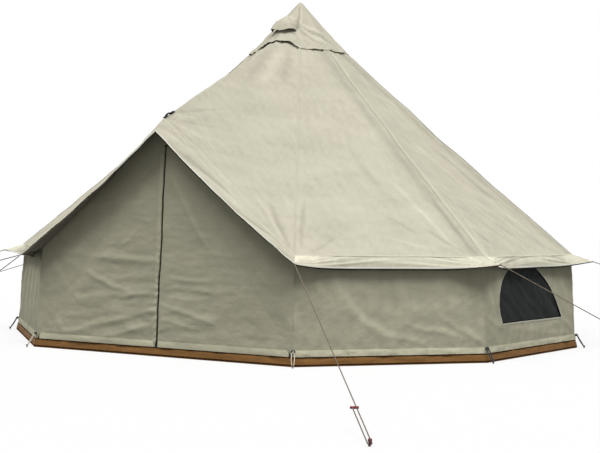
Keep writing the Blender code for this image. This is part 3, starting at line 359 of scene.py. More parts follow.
# A darker copy of the rope yarn for the guys left of the door: painted shade.
rope_yarn_shaded = twisted("rope_yarn_shaded", (0.060, 0.042, 0.042))
steel = plain_surface("galvanised_steel", (0.55, 0.55, 0.56), 0.38, 260.0, 0.0003, 0.10, Metallic=1.0)
black_plastic = plain_surface("black_plastic", (0.016, 0.016, 0.017), 0.34, 500.0, 0.0002, 0.2)
black_rubber = plain_surface("black_rubber", (0.020, 0.020, 0.020), 0.7, 350.0, 0.0004, 0.2)
webbing = canvas("black_webbing", (0.014, 0.013, 0.013), contrast=0.2, weave=0.0016, roughness=0.85)
band_rubber = plain_surface("band_rubber", (0.70, 0.64, 0.50), 0.6, 300.0, 0.0003, 0.12)
peg_dark = plain_surface("peg_dark", (0.060, 0.040, 0.036), 0.45, 240.0, 0.0003, 0.2)
peg_red = plain_surface("peg_red", (0.085, 0.008, 0.010), 0.5, 240.0, 0.0003, 0.2, wear=(0.20, 0.10, 0.09))
runner_red = plain_surface("runner_red", (0.180, 0.006, 0.014), 0.5, 300.0, 0.0003, 0.16)


# Meshes
def add_mesh(name, points, faces, look, uv=None, smooth_deg=55.0):
    mesh = bpy.data.meshes.new(name)
    mesh.from_pydata([tuple(p) for p in points.tolist()], [], faces)
    if uv is not None:
        layer = mesh.uv_layers.new(name="UVMap")
        corner = np.zeros(len(mesh.loops), np.int32)
        mesh.loops.foreach_get("vertex_index", corner)
        layer.data.foreach_set("uv", np.asarray(uv, np.float32)[corner].ravel())
    mesh.materials.append(look)
    mesh.shade_smooth()
    mesh.set_sharp_from_angle(angle=math.radians(smooth_deg))
    return placed(name, mesh)


def normals_of(grid, ring):
    """Unit normals of a grid of points, columns first."""
    if ring:
        across = np.roll(grid, -1, 0) - np.roll(grid, 1, 0)
    else:
        across = np.gradient(grid, axis=0)
    down = np.gradient(grid, axis=1)
    out = np.cross(across, down)
    size = np.linalg.norm(out, axis=2, keepdims=True)
    return out / np.maximum(size, 1e-12)


def faces_in(grid, normal):
    """Whether a grid's normals point to the tent's middle."""
    away = grid - UP * 0.6
    return (normal * away).sum(2).mean() < 0.0


def outward(grid, ring=False):
    """Unit normals of a grid that point away from the tent's middle."""
    normal = normals_of(grid, ring)
    return -normal if faces_in(grid, normal) else normal


def running(steps):
    return np.concatenate([[0.0], np.cumsum(steps)])


def grid_lengths(grid):
    """Cloth coordinates in metres: the widest row's length across, and the length down each column."""
    wide = np.linalg.norm(np.diff(grid, axis=0), axis=2).max(1)
    across = running(wide)
    tall = np.linalg.norm(np.diff(grid, axis=1), axis=2)
    down = np.concatenate([np.zeros((grid.shape[0], 1)), np.cumsum(tall, axis=1)], axis=1)
    return np.stack([np.broadcast_to(across[:, None], down.shape), down], axis=2)


def cloth(name, grid, look, ring=False, skin=SKIN, tone=None, shaded_inside=None):
    """A thin closed cloth from a grid of points on its outer face. tone darkens it under 0 and lightens it
    over 0: painted shade and highlight, and tone that differs at random.
    """
    normal = normals_of(grid, ring)
    if faces_in(grid, normal):
        grid = grid[:, ::-1]
        normal = -normal[:, ::-1]
        tone = None if tone is None else tone[:, ::-1]
    cols, rows = grid.shape[:2]
    points = np.concatenate([grid.reshape(-1, 3), (grid - normal * skin).reshape(-1, 3)])
    inner = cols * rows

    def at(i, j, layer):
        return (i % cols) * rows + j + layer * inner

    faces = []
    for i in range(cols if ring else cols - 1):
        for j in range(rows - 1):
            faces.append((at(i, j, 0), at(i + 1, j, 0), at(i + 1, j + 1, 0), at(i, j + 1, 0)))
            faces.append((at(i, j, 1), at(i, j + 1, 1), at(i + 1, j + 1, 1), at(i + 1, j, 1)))
        faces.append((at(i + 1, 0, 0), at(i, 0, 0), at(i, 0, 1), at(i + 1, 0, 1)))
        last = rows - 1
        faces.append((at(i, last, 0), at(i + 1, last, 0), at(i + 1, last, 1), at(i, last, 1)))
    if not ring:
        last = cols - 1
        for j in range(rows - 1):
            faces.append((at(0, j, 0), at(0, j + 1, 0), at(0, j + 1, 1), at(0, j, 1)))
            faces.append((at(last, j + 1, 0), at(last, j, 0), at(last, j, 1), at(last, j + 1, 1)))
    coords = np.tile(grid_lengths(grid).reshape(-1, 2), (2, 1))
    made = add_mesh(name, points, faces, look, coords, smooth_deg=70.0)
    if tone is not None:
        layer = made.data.attributes.new("fold", "FLOAT", "POINT")
        layer.data.foreach_set("value", np.tile(np.clip(tone, -1.0, 1.0).ravel(), 2).astype(np.float32))
    # The inner faces take the darker inside cloth: painted shade.
    if shaded_inside is not None:
        made.data.materials.append(shaded_inside)
        inside = [int(min(face) >= inner) for face in faces]
        made.data.polygons.foreach_set("material_index", np.array(inside, np.int32))
    return made


def rings_mesh(name, rings, look, closed=False, smooth_deg=50.0):
    """A tube from rings of points, capped at its ends unless it is closed."""
    count, sides = rings.shape[:2]
    along = running(np.linalg.norm(np.diff(rings.mean(1), axis=0), axis=1))
    around = running(np.linalg.norm(np.roll(rings[0], -1, 0) - rings[0], axis=1))[:-1]
    uv = np.stack(np.broadcast_arrays(around[None, :], along[:, None]), axis=2)
    faces = []
    for i in range(count if closed else count - 1):
        a = (i % count) * sides
        b = ((i + 1) % count) * sides
        for j in range(sides):
            k = (j + 1) % sides
            faces.append((a + j, a + k, b + k, b + j))
    if not closed:
        faces.append(tuple(range(sides))[::-1])
        faces.append(tuple(range((count - 1) * sides, count * sides)))
    return add_mesh(name, rings.reshape(-1, 3), faces, look, uv.reshape(-1, 2), smooth_deg)


TAPE_SHAPE = ((-0.5, -0.2), (-0.5, 0.5), (-0.42, 0.9), (-0.25, 1.0),
              (0.25, 1.0), (0.42, 0.9), (0.5, 0.5), (0.5, -0.2))


def strip(name, path, wide, out, look, width, thick, closed=False, lift=0.0):
    """A flat tape along a path, with rounded edges. wide and out are one unit direction, or one per point."""
    rings = np.stack([path + wide * (a * width) + out * (b * thick + lift) for a, b in TAPE_SHAPE], axis=1)
    return rings_mesh(name, rings, look, closed)


def unit(vectors):
    return vectors / np.maximum(np.linalg.norm(vectors, axis=-1, keepdims=True), 1e-12)


def beside(way):
    """Two unit directions across a way, the first of them level."""
    side = unit(np.cross(way, UP))
    return side, np.cross(side, way)


def around(sides):
    return np.arange(sides) * (TURN / sides)


def round_rings(path, side, up, radius, sides):
    """Rings of points round a path, between two directions across it. radius may differ along and around."""
    side = np.broadcast_to(side, path.shape)
    up = np.broadcast_to(up, path.shape)
    angle = around(sides)[None, :, None]
    ring = np.cos(angle) * side[:, None] + np.sin(angle) * up[:, None]
    return path[:, None] + ring * radius


def mesh_from(work, name):
    mesh = bpy.data.meshes.new(name)
    work.to_mesh(mesh)
    work.free()
    return mesh


def joined(name, things):
    """Several meshes made one object."""
    work = bmesh.new()
    looks = []
    for thing in things:
        mesh = thing.data
        start = len(work.faces)
        work.from_mesh(mesh)
        work.faces.ensure_lookup_table()
        look = mesh.materials[0]
        if look not in looks:
            looks.append(look)
        for face in work.faces[start:]:
            face.material_index = looks.index(look)
    made = mesh_from(work, name)
    for look in looks:
        made.materials.append(look)
    for thing in things:
        bpy.data.objects.remove(thing, do_unlink=True)
    return placed(name, made)


def ripples(points, wavelength, seed, stretch=None):
    """Smooth, aimless waves over space, about -1 to 1. stretch multiplies x, y and z first."""
    if stretch:
        points = points * np.array(stretch)
    count = 14
    dice = np.random.default_rng(seed)
    way = unit(dice.normal(size=(count, 3)))
    scale = TURN / (wavelength * dice.uniform(0.7, 1.5, count))
    phase = dice.uniform(0.0, TURN, count)
    total = np.zeros(points.shape[:-1])
    for k in range(count):
        total += np.sin(points @ (way[k] * scale[k]) + phase[k])
    return total / math.sqrt(count)


def ripple_sum(points, *waves):
    """Ripples of several sizes, each a height, a wavelength and a seed."""
    return sum(height * ripples(points, wavelength, seed) for height, wavelength, seed in waves)


def even(count):
    return np.linspace(0.0, 1.0, count)


def clamp(value):
    return np.clip(value, 0.0, 1.0)


def ramp(value, start, length):
    """Rises from 0 to 1 over a length from its start."""
    return clamp((value - start) / length)


def bell(value, width):
    return np.exp(-(value / width) ** 2)


def fit(piece, slot, *replaced, body="tent"):
    """Ties a piece to the body that it moves with, and hides the solids that it stands for. slot is not used.
    """
    if replaced:
        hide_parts(*replaced)
    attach(piece, body)


def heading(angle):
    return Vector((math.sin(angle), -math.cos(angle), 0.0))


def corner_angle(index):
    return DOOR_HALF + index * SIDE_STEP


def corner(index):
    return heading(corner_angle(index))


CORNER_WAYS = np.array([tuple(corner(i)) for i in range(CORNERS + 1)])


def array(vector):
    return np.array(tuple(vector), float)


def on_side(index, share, radius, height):
    """Points on the straight side from a corner to the next. share, radius and height may be arrays."""
    share, radius, height = np.broadcast_arrays(share, radius, height)
    way = CORNER_WAYS[index] * (1.0 - share[..., None]) + CORNER_WAYS[index + 1] * share[..., None]
    point = way * radius[..., None]
    point[..., 2] = height
    return point


def wall_radius(height):
    rise = (height - TUB_HEIGHT) / (EAVE_HEIGHT - TUB_HEIGHT)
    return WALL_FOOT_RADIUS + (WALL_HEAD_RADIUS - WALL_FOOT_RADIUS) * rise


def door_face(height):
    return wall_radius(height) * math.cos(DOOR_HALF)


def roof_height(radius):
    run = EAVE_RADIUS - radius
    return EAVE_HEIGHT + ROOF_SLOPE * run + ROOF_CURVE * run * run


CROWN_HEIGHT = roof_height(CROWN_RADIUS)
CAP_TOP_HEIGHT = CROWN_HEIGHT + CAP_STAND
ROOF_DROP = CLOTH * math.hypot(1.0, ROOF_SLOPE)
SIDE_WIDTH = 2.0 * EAVE_RADIUS * math.sin(SIDE_HALF)


def ear_tip(index):
    return CORNER_WAYS[index % CORNERS] * TIP_RADIUS + UP * TIP_HEIGHT


# Guy ropes
FRONT_SPLAY = 8.2
GUY_DROP = TIP_HEIGHT - LOOP_HEIGHT
ROPE_TWIST = 0.034
KNOT_TURNS = 2.7
KNOT_THICK = 0.0029
PATH_STEP = 0.004
SIDE_GUY_RUN = 2.020
BACK_GUY_RUN = 2.780
LOW_GUY_RUN = 0.900
LOW_GUY_START = 0.020


def guy_frame(index, run, splay_deg):
    """Where a whole guy starts at its corner's tip, its compass turn, and its slope down to its peg."""
    away = 1.0 if index < CORNERS / 2 else -1.0
    turn = corner_angle(index) + away * math.radians(splay_deg)
    start = ear_tip(index) + array(heading(turn)) * (2.0 * GAP)
    return start, turn, math.atan2(GUY_DROP, run)


def rope_mesh(name, path, look=rope_yarn):
    """Three strands twisted round each other along a path."""
    along = running(np.linalg.norm(np.diff(path, axis=0), axis=1))
    side, up = beside(unit(np.gradient(path, axis=0)))
    sides = 12
    lobe = np.abs(np.sin(1.5 * (around(sides)[None, :] - along[:, None] * (TURN / ROPE_TWIST))))
    radius = ROPE_RADIUS * (0.86 + 0.20 * lobe ** 0.7)
    rings = round_rings(path, side, up, radius[..., None], sides)
    return rings_mesh(name, rings, look, smooth_deg=80.0)


def knot_mesh(name, start, way):
    """Turns of the rope round itself, with its cut end poking out."""
    side, up = beside(way)
    turns = np.linspace(0.0, KNOT_TURNS * TURN, 78)
    climb = KNOT_THICK + (KNOT_LENGTH - 2.6 * KNOT_THICK) * turns / turns[-1]
    axis = start + way * climb[:, None]
    coil = axis + (side * np.cos(turns)[:, None] + up * np.sin(turns)[:, None]) * (KNOT_RADIUS - KNOT_THICK)
    out = unit(coil - axis)
    across = np.cross(unit(np.gradient(coil, axis=0)), out)
    rings = round_rings(coil, out, across, KNOT_THICK, 8)
    wraps = rings_mesh(name + "_wraps", rings, rope_yarn, smooth_deg=80.0)
    ends = start + way * np.array([-0.0002, 0.005, 0.012, KNOT_LENGTH])[:, None]
    spread = np.array([0.0028, 0.0030, 0.0030, 0.0022])[:, None, None]
    core = rings_mesh(name + "_core", round_rings(ends, side, up, spread, 8), rope_yarn)
    return joined(name, [wraps, core])


def straight_path(start, way, length):
    count = max(6, int(math.ceil(length / PATH_STEP)))
    return start + way * np.linspace(0.0, length, count + 1)[:, None]


def guy_way(turn, slope):
    return array(heading(turn)) * math.cos(slope) - UP * math.sin(slope)


def front_guy():
    """The whole guy: down to the peg, round it, and back into the runner."""
    start, turn, slope = guy_frame(0, FRONT_GUY_RUN, FRONT_SPLAY)
    length = GUY_DROP / math.sin(slope)
    way = guy_way(turn, slope)
    across = np.array([math.cos(turn), math.sin(turn), 0.0])
    half = STRAND_SPACING / 2.0
    down = straight_path(start, way, length)
    hub = start + way * length - across * half
    bend = np.linspace(0.0, math.pi, 15)[1:-1, None]
    loop = hub + across * half * np.cos(bend) + way * half * np.sin(bend)
    back = straight_path(start + way * length - across * STRAND_SPACING, -way, RUNNER_FROM_PEG)
    path = np.concatenate([down, loop, back])
    rope = rope_mesh("rope_front_right", path)
    fit(rope, "guy_rope", "guy_rope_front_right")
    tuple(start)


def part_guy(name, start, turn, slope, drawn):
    """A guy that ends in its knot just outside the picture. Those left of the door take a darker copy of the
    rope yarn: painted shade.
    """
    way = guy_way(turn, slope)
    path = straight_path(start, way, drawn)
    rope = rope_mesh("rope_" + name, path, rope_yarn_shaded if "left" in name else rope_yarn)
    fit(rope, "guy_rope", "guy_rope_" + name)
    knot = knot_mesh("knot_" + name, start + way * (drawn + GAP), way)
    fit(knot, "guy_rope", "guy_knot_" + name)
    tuple(start)
    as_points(path)


front_guy()
for guy_name, guy_corner, guy_run, guy_splay, guy_drawn in (
    ("right", 1, SIDE_GUY_RUN, 0.0, 1.040),
    ("far_right", 2, SIDE_GUY_RUN, 0.0, 0.135),
    ("back_left", 7, BACK_GUY_RUN, 0.0, 1.340),
    ("left", 8, SIDE_GUY_RUN, 0.0, 0.120),
    ("front_left", 9, FRONT_GUY_RUN, FRONT_SPLAY, 0.230),
):
    guy_start, guy_turn, guy_slope = guy_frame(guy_corner, guy_run, guy_splay)
    part_guy(guy_name, guy_start, guy_turn, guy_slope, guy_drawn)

# The low one starts just under the rope of the guy before it
guy_under = array(heading(guy_turn)) * math.sin(guy_slope) + UP * math.cos(guy_slope)
guy_start = guy_start + guy_way(guy_turn, guy_slope) * LOW_GUY_START - guy_under * (2.0 * ROPE_RADIUS + GAP)
guy_slope = math.atan2(guy_start[2] - LOOP_HEIGHT, LOW_GUY_RUN)
part_guy("front_left_low", guy_start, guy_turn, guy_slope, 0.260)


def fold_lines(*rows):
    """Folds from rows of whole numbers: spots (across, height) in mm, rise in 0.1 mm, half width in mm."""
    return [(np.reshape(row[:-2], (-1, 2)) / 1000.0, row[-2] / 10000.0, row[-1] / 1000.0) for row in rows]


def strokes(x, height, folds):
    """Single folds drawn on a cloth, each from a line of spots, its rise and its half width, in metres."""
    total = np.zeros(np.shape(x))
    for line, rise, wide in folds:
        spots = np.array(line)
        steps = np.linspace(0.0, len(spots) - 1.0, 24)
        px = np.interp(steps, np.arange(len(spots)), spots[:, 0])
        pz = np.interp(steps, np.arange(len(spots)), spots[:, 1])
        gap = np.full(np.shape(x), 9.0)
        place = np.zeros(np.shape(x))
        for k in range(len(px) - 1):
            dx, dz = px[k + 1] - px[k], pz[k + 1] - pz[k]
            t = clamp(((x - px[k]) * dx + (height - pz[k]) * dz) / (dx * dx + dz * dz))
            far = np.hypot(x - px[k] - t * dx, height - pz[k] - t * dz)
            nearer = far < gap
            place = np.where(nearer, (k + t) / (len(px) - 1), place)
            gap = np.minimum(gap, far)
        taper = clamp(np.sin(math.pi * (0.06 + 0.88 * place))) ** 0.6
        total += rise * taper * bell(gap, wide * (0.55 + 0.45 * taper))
    return total


# Roof
SEEN_PANELS = (0, 1, 8)


def gathered(count):
    """Shares from 0 to 1 that lie closer together near both ends."""
    share = even(count)
    return 0.45 * share + 0.55 * (0.5 - 0.5 * np.cos(math.pi * share))


PANEL_SHARES = [gathered(73 if panel in SEEN_PANELS else 31) for panel in range(CORNERS - 1)]
PORCH_STEPS = gathered(61)
ROOF_EVEN = even(118)
ROOF_DOWN = ROOF_EVEN - 0.08 * np.sin(TURN * ROOF_EVEN)
LIP_DOWN = even(13)[1:]
CROWN_DOOR_RADIUS = CROWN_RADIUS * math.cos(DOOR_HALF)
PLEAT_START = 0.05
PEAK_TIP = np.array([0.0, -PEAK_TIP_RADIUS, PEAK_TIP_HEIGHT])
MIRROR = np.array([-1.0, 1.0, 1.0])


def ear_pull(distance):
    return bell(distance, EAR_REACH)


def gore(index, shares):
    """Outer points of one roof panel and its valance, columns first."""
    share = shares[:, None]
    radius = CROWN_RADIUS + (EAVE_RADIUS - CROWN_RADIUS) * ROOF_DOWN[None, :]
    swing = np.sin(math.pi * ROOF_DOWN)[None, :]
    sag = PANEL_SAG * swing * swing * 4.0 * share * (1.0 - share)
    top = on_side(index, share, radius, roof_height(radius) - sag)
    bend = on_side(index, shares, EAVE_RADIUS, EAVE_HEIGHT)
    hang = on_side(index, shares, EAVE_RADIUS + VALANCE_FLARE, EAVE_HEIGHT - VALANCE_DEPTH)
    near = ear_pull(SIDE_WIDTH * shares)[:, None]
    far = ear_pull(SIDE_WIDTH * (1.0 - shares))[:, None]
    edge = hang * (1.0 - near - far) + ear_tip(index) * near + ear_tip(index + 1) * far
    lip = bend[:, None] + (edge - bend)[:, None] * LIP_DOWN[None, :, None]
    return np.concatenate([top, lip], axis=1)


def ridge_height(out):
    run = PEAK_RADIUS - out
    bend = PEAK_RADIUS - CAP_RADIUS
    height = PEAK_HEIGHT + PEAK_RIDGE_SLOPE * run
    whole = PEAK_RADIUS - CROWN_DOOR_RADIUS
    top = PEAK_HEIGHT + PEAK_RIDGE_SLOPE * whole
    lift = np.maximum(0.0, (run - bend) / (whole - bend))
    return height + (CROWN_HEIGHT - top) * lift * lift


def porch_half(shares):
    """Outer points of the right half of the porch roof and its lip, from the ridge to the corner seam."""
    share = shares[:, None, None]
    out = CROWN_DOOR_RADIUS + (PEAK_RADIUS - CROWN_DOOR_RADIUS) * ROOF_DOWN
    ridge = np.stack([np.zeros_like(out), -out, ridge_height(out)], axis=1)[None]
    radius = CROWN_RADIUS + (EAVE_RADIUS - CROWN_RADIUS) * ROOF_DOWN
    seam = CORNER_WAYS[0] * radius[:, None]
    seam[:, 2] = roof_height(radius)
    top = ridge + (seam[None] - ridge) * share
    droop = 4.0 * shares * (1.0 - shares)
    top[..., 2] -= PORCH_SAG * (ROOF_DOWN ** 2)[None, :] * droop[:, None]
    edge = PEAK_TIP + (ear_tip(0) - PEAK_TIP) * shares[:, None]
    edge[:, 2] -= PORCH_SAG * droop
    hem = top[:, -1]
    lip = hem[:, None] + (edge - hem)[:, None] * LIP_DOWN[None, :, None]
    lift = np.minimum(LIP_DOWN, 1.0 - LIP_DOWN) * 2.0
    lip[..., 2] += 0.006 * (1.0 - shares)[:, None] * lift[None, :]
    return np.concatenate([top, lip], axis=1)


def seam_distance(shares, grid):
    """Distance across the cloth to the nearer side of each column's panel."""
    width = np.linalg.norm(grid[-1] - grid[0], axis=1)[None, :]
    return np.minimum(shares, 1.0 - shares)[:, None] * width


EAVE_ROW = len(ROOF_DOWN) - 1
roof_parts = []
seam_gaps = []
for panel in range(CORNERS - 1):
    part = gore(panel, PANEL_SHARES[panel])
    roof_parts.append(part[:-1])
    seam_gaps.append(seam_distance(PANEL_SHARES[panel], part)[:-1])
porch = porch_half(PORCH_STEPS)
porch_gap = seam_distance(PORCH_STEPS, porch)
roof_parts += [(porch * MIRROR)[::-1][:-1], porch[:-1]]
seam_gaps += [porch_gap[::-1][:-1], porch_gap[:-1]]
roof_grid = np.concatenate(roof_parts)
seam_gap = np.concatenate(seam_gaps)
corner_column = [sum(len(shares) - 1 for shares in PANEL_SHARES[:i]) for i in range(CORNERS)]
ridge_column = corner_column[9] + len(PORCH_STEPS) - 1
EDGE_ROW = roof_grid.shape[1] - 1
VALANCE_FALL = ramp(np.arange(EDGE_ROW + 1), EAVE_ROW, EDGE_ROW - EAVE_ROW)
ON_TOP = (np.arange(EDGE_ROW + 1) <= EAVE_ROW)[None, :]
PORCH_COLUMNS = slice(corner_column[9], None)
PORCH_LEFT = slice(corner_column[9], ridge_column)


def panel_columns(panel):
    return slice(corner_column[panel], corner_column[panel + 1])


def fan_of_pleats(grid, tip, reach, counts, slope, seed):
    """Soft pleats that run out from a point where the cloth is drawn tight, as steep near as far."""
    gap = grid - tip
    away = np.linalg.norm(gap, axis=2)
    inward = unit(-tip * LEVEL + UP * 0.83 * np.linalg.norm(tip[:2]))
    side = unit(np.cross(inward, UP))
    angle = np.arctan2((gap * side).sum(2), (gap * inward).sum(2))
    wobble = 0.9 * np.sin(3.1 * angle + seed) + 0.6 * np.sin(7.3 * angle + 2.0 * seed)
    total = np.zeros(grid.shape[:2])
    for step, count in enumerate(counts):
        wave = np.cos(count * angle + wobble * (1.0 + 0.4 * step) + seed * (1.0 + step))
        total += wave * slope * away / count
    return total * bell(away, reach) * clamp(away / PLEAT_START)


# Folds of the roof: their spots lie along the eave from a corner, and up the cloth from the eave
PANEL_FOLDS = fold_lines(
    (1060, 300, 1180, 165, 1300, 30, -60, 14),
    (815, 425, 890, 345, 965, 262, -45, 12),
    (968, 838, 1115, 430, 1252, 39, 55, 16),
    (1230, 620, 1300, 330, 1352, 80, -50, 14),
    (201, 582, 120, 300, 62, 55, -50, 18),
    (330, 190, 220, 90, 110, 16, -35, 10),
    (640, 240, 860, 150, 1080, 60, 30, 14),
    (720, 1250, 800, 900, 930, 560, -28, 30),
)
SIDE_FOLDS = fold_lines(
    (560, 520, 740, 250, 917, 4, -75, 13),
    (585, 470, 690, 310, 860, 60, 50, 12),
    (939, 1009, 1048, 667, -60, 13),
    (670, 575, 773, 408, -55, 12),
    (760, 760, 960, 350, 1130, 60, -50, 13),
    (820, 900, 1010, 500, 1200, 120, 45, 14),
    (880, 1300, 1040, 830, 1260, 240, -55, 14),
    (300, 700, 520, 300, 700, 30, -35, 14),
    (120, 420, 260, 200, 420, 20, -35, 14),
    (620, 1500, 700, 1100, 800, 800, 30, 20),
)
PORCH_FOLDS = fold_lines(
    (491, 229, 270, 120, 60, 18, -55, 20),
    (620, 190, 360, 110, 110, 30, 40, 18),
    (1939, 1628, 1790, 1330, 1649, 1061, -32, 45),
    (1854, 1817, 1700, 1600, 1560, 1413, -32, 40),
    (1900, 1720, 1740, 1460, 1600, 1230, 30, 40),
    (1515, 90, 1480, 340, 1431, 656, -35, 12),
    (1493, 96, 1450, 200, 1408, 312, 35, 10),
    (1461, 48, 1370, 230, 1254, 441, -35, 12),
    (1440, 40, 1330, 110, 1160, 220, 30, 12),
    (1420, 30, 1260, 60, 1060, 100, -30, 12),
    (1300, 30, 900, 50, 520, 60, 35, 20),
)


def on_plane(grid, origin, along, third):
    """Where points lie on the flat of one roof panel: metres along its eave, and up from it."""
    way = unit(along - origin)
    up = third - origin
    up = unit(up - way * (up @ way))
    gap = grid - origin
    return gap @ way, gap @ up


def at_height(way, radius, height):
    spot = way * radius
    spot[2] = height
    return spot


def drawn_folds(grid):
    """The single folds of every panel, taken from the two that the photograph shows best."""
    total = np.zeros(grid.shape[:2])
    for panel in range(CORNERS - 1):
        cols = panel_columns(panel)
        origin = at_height(CORNER_WAYS[panel], EAVE_RADIUS, EAVE_HEIGHT)
        along = at_height(CORNER_WAYS[panel + 1], EAVE_RADIUS, EAVE_HEIGHT)
        third = at_height(CORNER_WAYS[panel], CROWN_RADIUS, CROWN_HEIGHT)
        x, y = on_plane(grid[cols], origin, along, third)
        if panel in (3, 5, 8):
            x = SIDE_WIDTH * EAVE_RADIUS / WALL_FOOT_RADIUS - x
        total[cols] = strokes(x, y, SIDE_FOLDS if panel in (1, 4, 6) else PANEL_FOLDS)
    origin = at_height(CORNER_WAYS[0], EAVE_RADIUS, EAVE_HEIGHT)
    along = np.array([0.0, -PEAK_RADIUS, PEAK_HEIGHT])
    third = np.array([0.0, -CROWN_DOOR_RADIUS, CROWN_HEIGHT])
    both = grid[PORCH_COLUMNS].copy()
    both[..., 0] = np.abs(both[..., 0])
    x, y = on_plane(both, origin, along, third)
    total[PORCH_COLUMNS] = strokes(x, y, PORCH_FOLDS)
    total[:, EAVE_ROW:] = 0.0
    fade = ramp(EAVE_ROW, np.arange(grid.shape[1]), 6.0)
    return total * fade[None, :]


def roof_relief(grid):
    """How far the cloth stands off its even shape: taut seams, pleats at the guys, and slack between."""
    down = np.concatenate([ROOF_DOWN, np.ones(len(LIP_DOWN))])[None, :]
    ends = np.sin(math.pi * down) ** 0.6
    relief = (0.0045 * np.exp(-seam_gap / 0.05) - 0.0075 * (1.0 - np.exp(-seam_gap / 0.075))) * ends
    relief += 0.0035 * ripples(grid, 0.55, 3) * ends
    relief += 0.0018 * ripples(grid, 0.20, 4) * np.where(ON_TOP, 0.9, 1.2)
    relief += 0.0007 * ripples(grid, 0.08, 5)
    for index in range(CORNERS):
        relief += fan_of_pleats(grid, ear_tip(index), 0.62, (13.0, 24.0, 41.0), 0.085, index * 1.7 + 0.4)
    relief += fan_of_pleats(grid, PEAK_TIP, 0.42, (11.0, 23.0, 37.0), 0.10, 2.6)
    around = np.arctan2(grid[..., 0], -grid[..., 1])
    out = np.linalg.norm(grid[..., :2], axis=2)
    crown = bell(out - 0.50, 0.36) * ON_TOP
    for count, shift in ((19.0, 0.5), (31.0, 2.1), (53.0, 4.0)):
        bend = 1.4 * np.sin(5.0 * around + shift) + 0.8 * np.sin(3.0 * around - shift)
        relief += 0.055 * out / count * crown * np.cos(count * around + bend)
    beside_ridge = bell(np.degrees(np.abs(around)) - 11.0, 7.0)
    relief += 0.015 * beside_ridge * bell(out - 0.45, 0.16) * ON_TOP
    return relief + roof_folds


def roof_tone(grid, folds):
    """Painted highlight on the ridges of the cloth's folds and painted shade in their valleys, with tone that
    differs at random, and painted light in bands beside the seams.
    """
    tone = folds / 0.0080
    tone += ripple_sum(grid, (0.10, 0.30, 61), (0.10, 0.10, 62), (0.08, 0.04, 63))
    for panel in range(CORNERS - 1):
        share = PANEL_SHARES[panel][:-1, None]
        sides = grid[corner_column[panel + 1]] - grid[corner_column[panel]]
        wide = np.linalg.norm(sides, axis=1)[None, :]
        # Beside each panel's first seam a painted highlight, strongest on panel 1, and beside its second seam
        # painted shade.
        painted_pale = 0.65 if panel == 1 else 0.15
        seam = painted_pale * bell(share * wide - 0.034, 0.028)
        tone[panel_columns(panel)] += seam - 0.52 * bell((1.0 - share) * wide - 0.062, 0.042)
    return tone


def valance_tone(pulls):
    """Painted shade and highlight on the folds of the valance and the lip, dark where they sink and pale
    where they stand; the lip left of the ridge painted paler all over, as painted light.
    """
    tone = np.where(ON_TOP, 0.0, 0.7 * np.tanh(pulls / 0.0060))
    tone[PORCH_LEFT] += np.where(ON_TOP, 0.0, 0.45)
    return tone


def valance_pulls(grid):
    """Long slanting folds that the guys pull into the valance, leaving both its edges where they are."""
    total = np.zeros(grid.shape[:2])
    fall = VALANCE_FALL[None, :]
    swell = np.sin(math.pi * fall)
    for panel in range(CORNERS - 1):
        share = PANEL_SHARES[panel][:-1]
        for mirror, seed in ((share, 0.0), (1.0 - share, 1.9)):
            along = mirror[:, None] * SIDE_WIDTH
            angle = np.arctan2((1.0 - fall) * VALANCE_DEPTH + 0.015, along + 0.05)
            wave = np.cos(angle * 62.0 + seed + panel) + 0.7 * np.cos(angle * 118.0 + 2.0 * seed - panel)
            fade = clamp(along / 0.08) * bell(along, 0.60)
            total[panel_columns(panel)] += 0.0030 * wave * fade * swell ** 0.7
    half = ridge_column - corner_column[9]
    column = np.arange(grid.shape[0] - corner_column[9])[:, None]
    share = np.abs(column - half) / half
    hold = clamp(np.sin(math.pi * clamp(share))) ** 0.5
    phase = 1.05 * fall + 3.1 * share + 0.138
    fold = np.sin(TURN * phase) + 0.45 * np.sin(TURN * (2.0 * phase + 0.3 * share))
    phase = 2.6 * fall + 0.5 * share
    long_fold = np.sin(TURN * phase) + 0.3 * np.sin(TURN * (1.9 * phase - 0.4 * share))
    total[PORCH_COLUMNS] += np.where(column < half, 0.0075 * long_fold, 0.0050 * fold) * swell ** 0.7 * hold
    return total


def valance_swell(grid):
    """The valance bellies outwards between the corners."""
    total = np.zeros(grid.shape[:2])
    fall = VALANCE_FALL[None, :]
    for panel in range(CORNERS - 1):
        bow = np.sin(math.pi * PANEL_SHARES[panel][:-1, None])
        total[panel_columns(panel)] = (0.006 * np.sin(math.pi * fall) + 0.008 * fall) * bow
    return total


roof_normal = outward(roof_grid, True)
roof_folds = drawn_folds(roof_grid)
roof_pulls = valance_pulls(roof_grid)
roof_tones = roof_tone(roof_grid, roof_folds) + valance_tone(roof_pulls)
roof_stand = roof_relief(roof_grid) + roof_pulls + valance_swell(roof_grid)
roof_grid = roof_grid + roof_normal * roof_stand[..., None]
roof_normal = outward(roof_grid, True)
roof = cloth("roof_cloth", roof_grid, roof_canvas, ring=True, tone=roof_tones, shaded_inside=roof_inside_shade)


def lighter_valance(thing):
    """The straight valances take a lighter copy of the roof cloth: painted light on their steep faces."""
    mesh = thing.data
    mesh.materials.append(valance_painted_light)
    slots = np.zeros(len(mesh.polygons), np.int32)
    mesh.polygons.foreach_get("material_index", slots)
    cols, rows = roof_grid.shape[:2]
    corners_of = np.array([tuple(face.vertices) for face in mesh.polygons]) % (cols * rows)
    row = corners_of % rows
    if faces_in(roof_grid, normals_of(roof_grid, True)):
        row = rows - 1 - row
    column = corners_of // rows
    painted_pale = (row.min(1) >= EAVE_ROW) & (column.min(1) < corner_column[9]) & (column.max(1) <= corner_column[9])
    slots[painted_pale & (slots == 0)] = 2
    mesh.polygons.foreach_set("material_index", slots)


lighter_valance(roof)

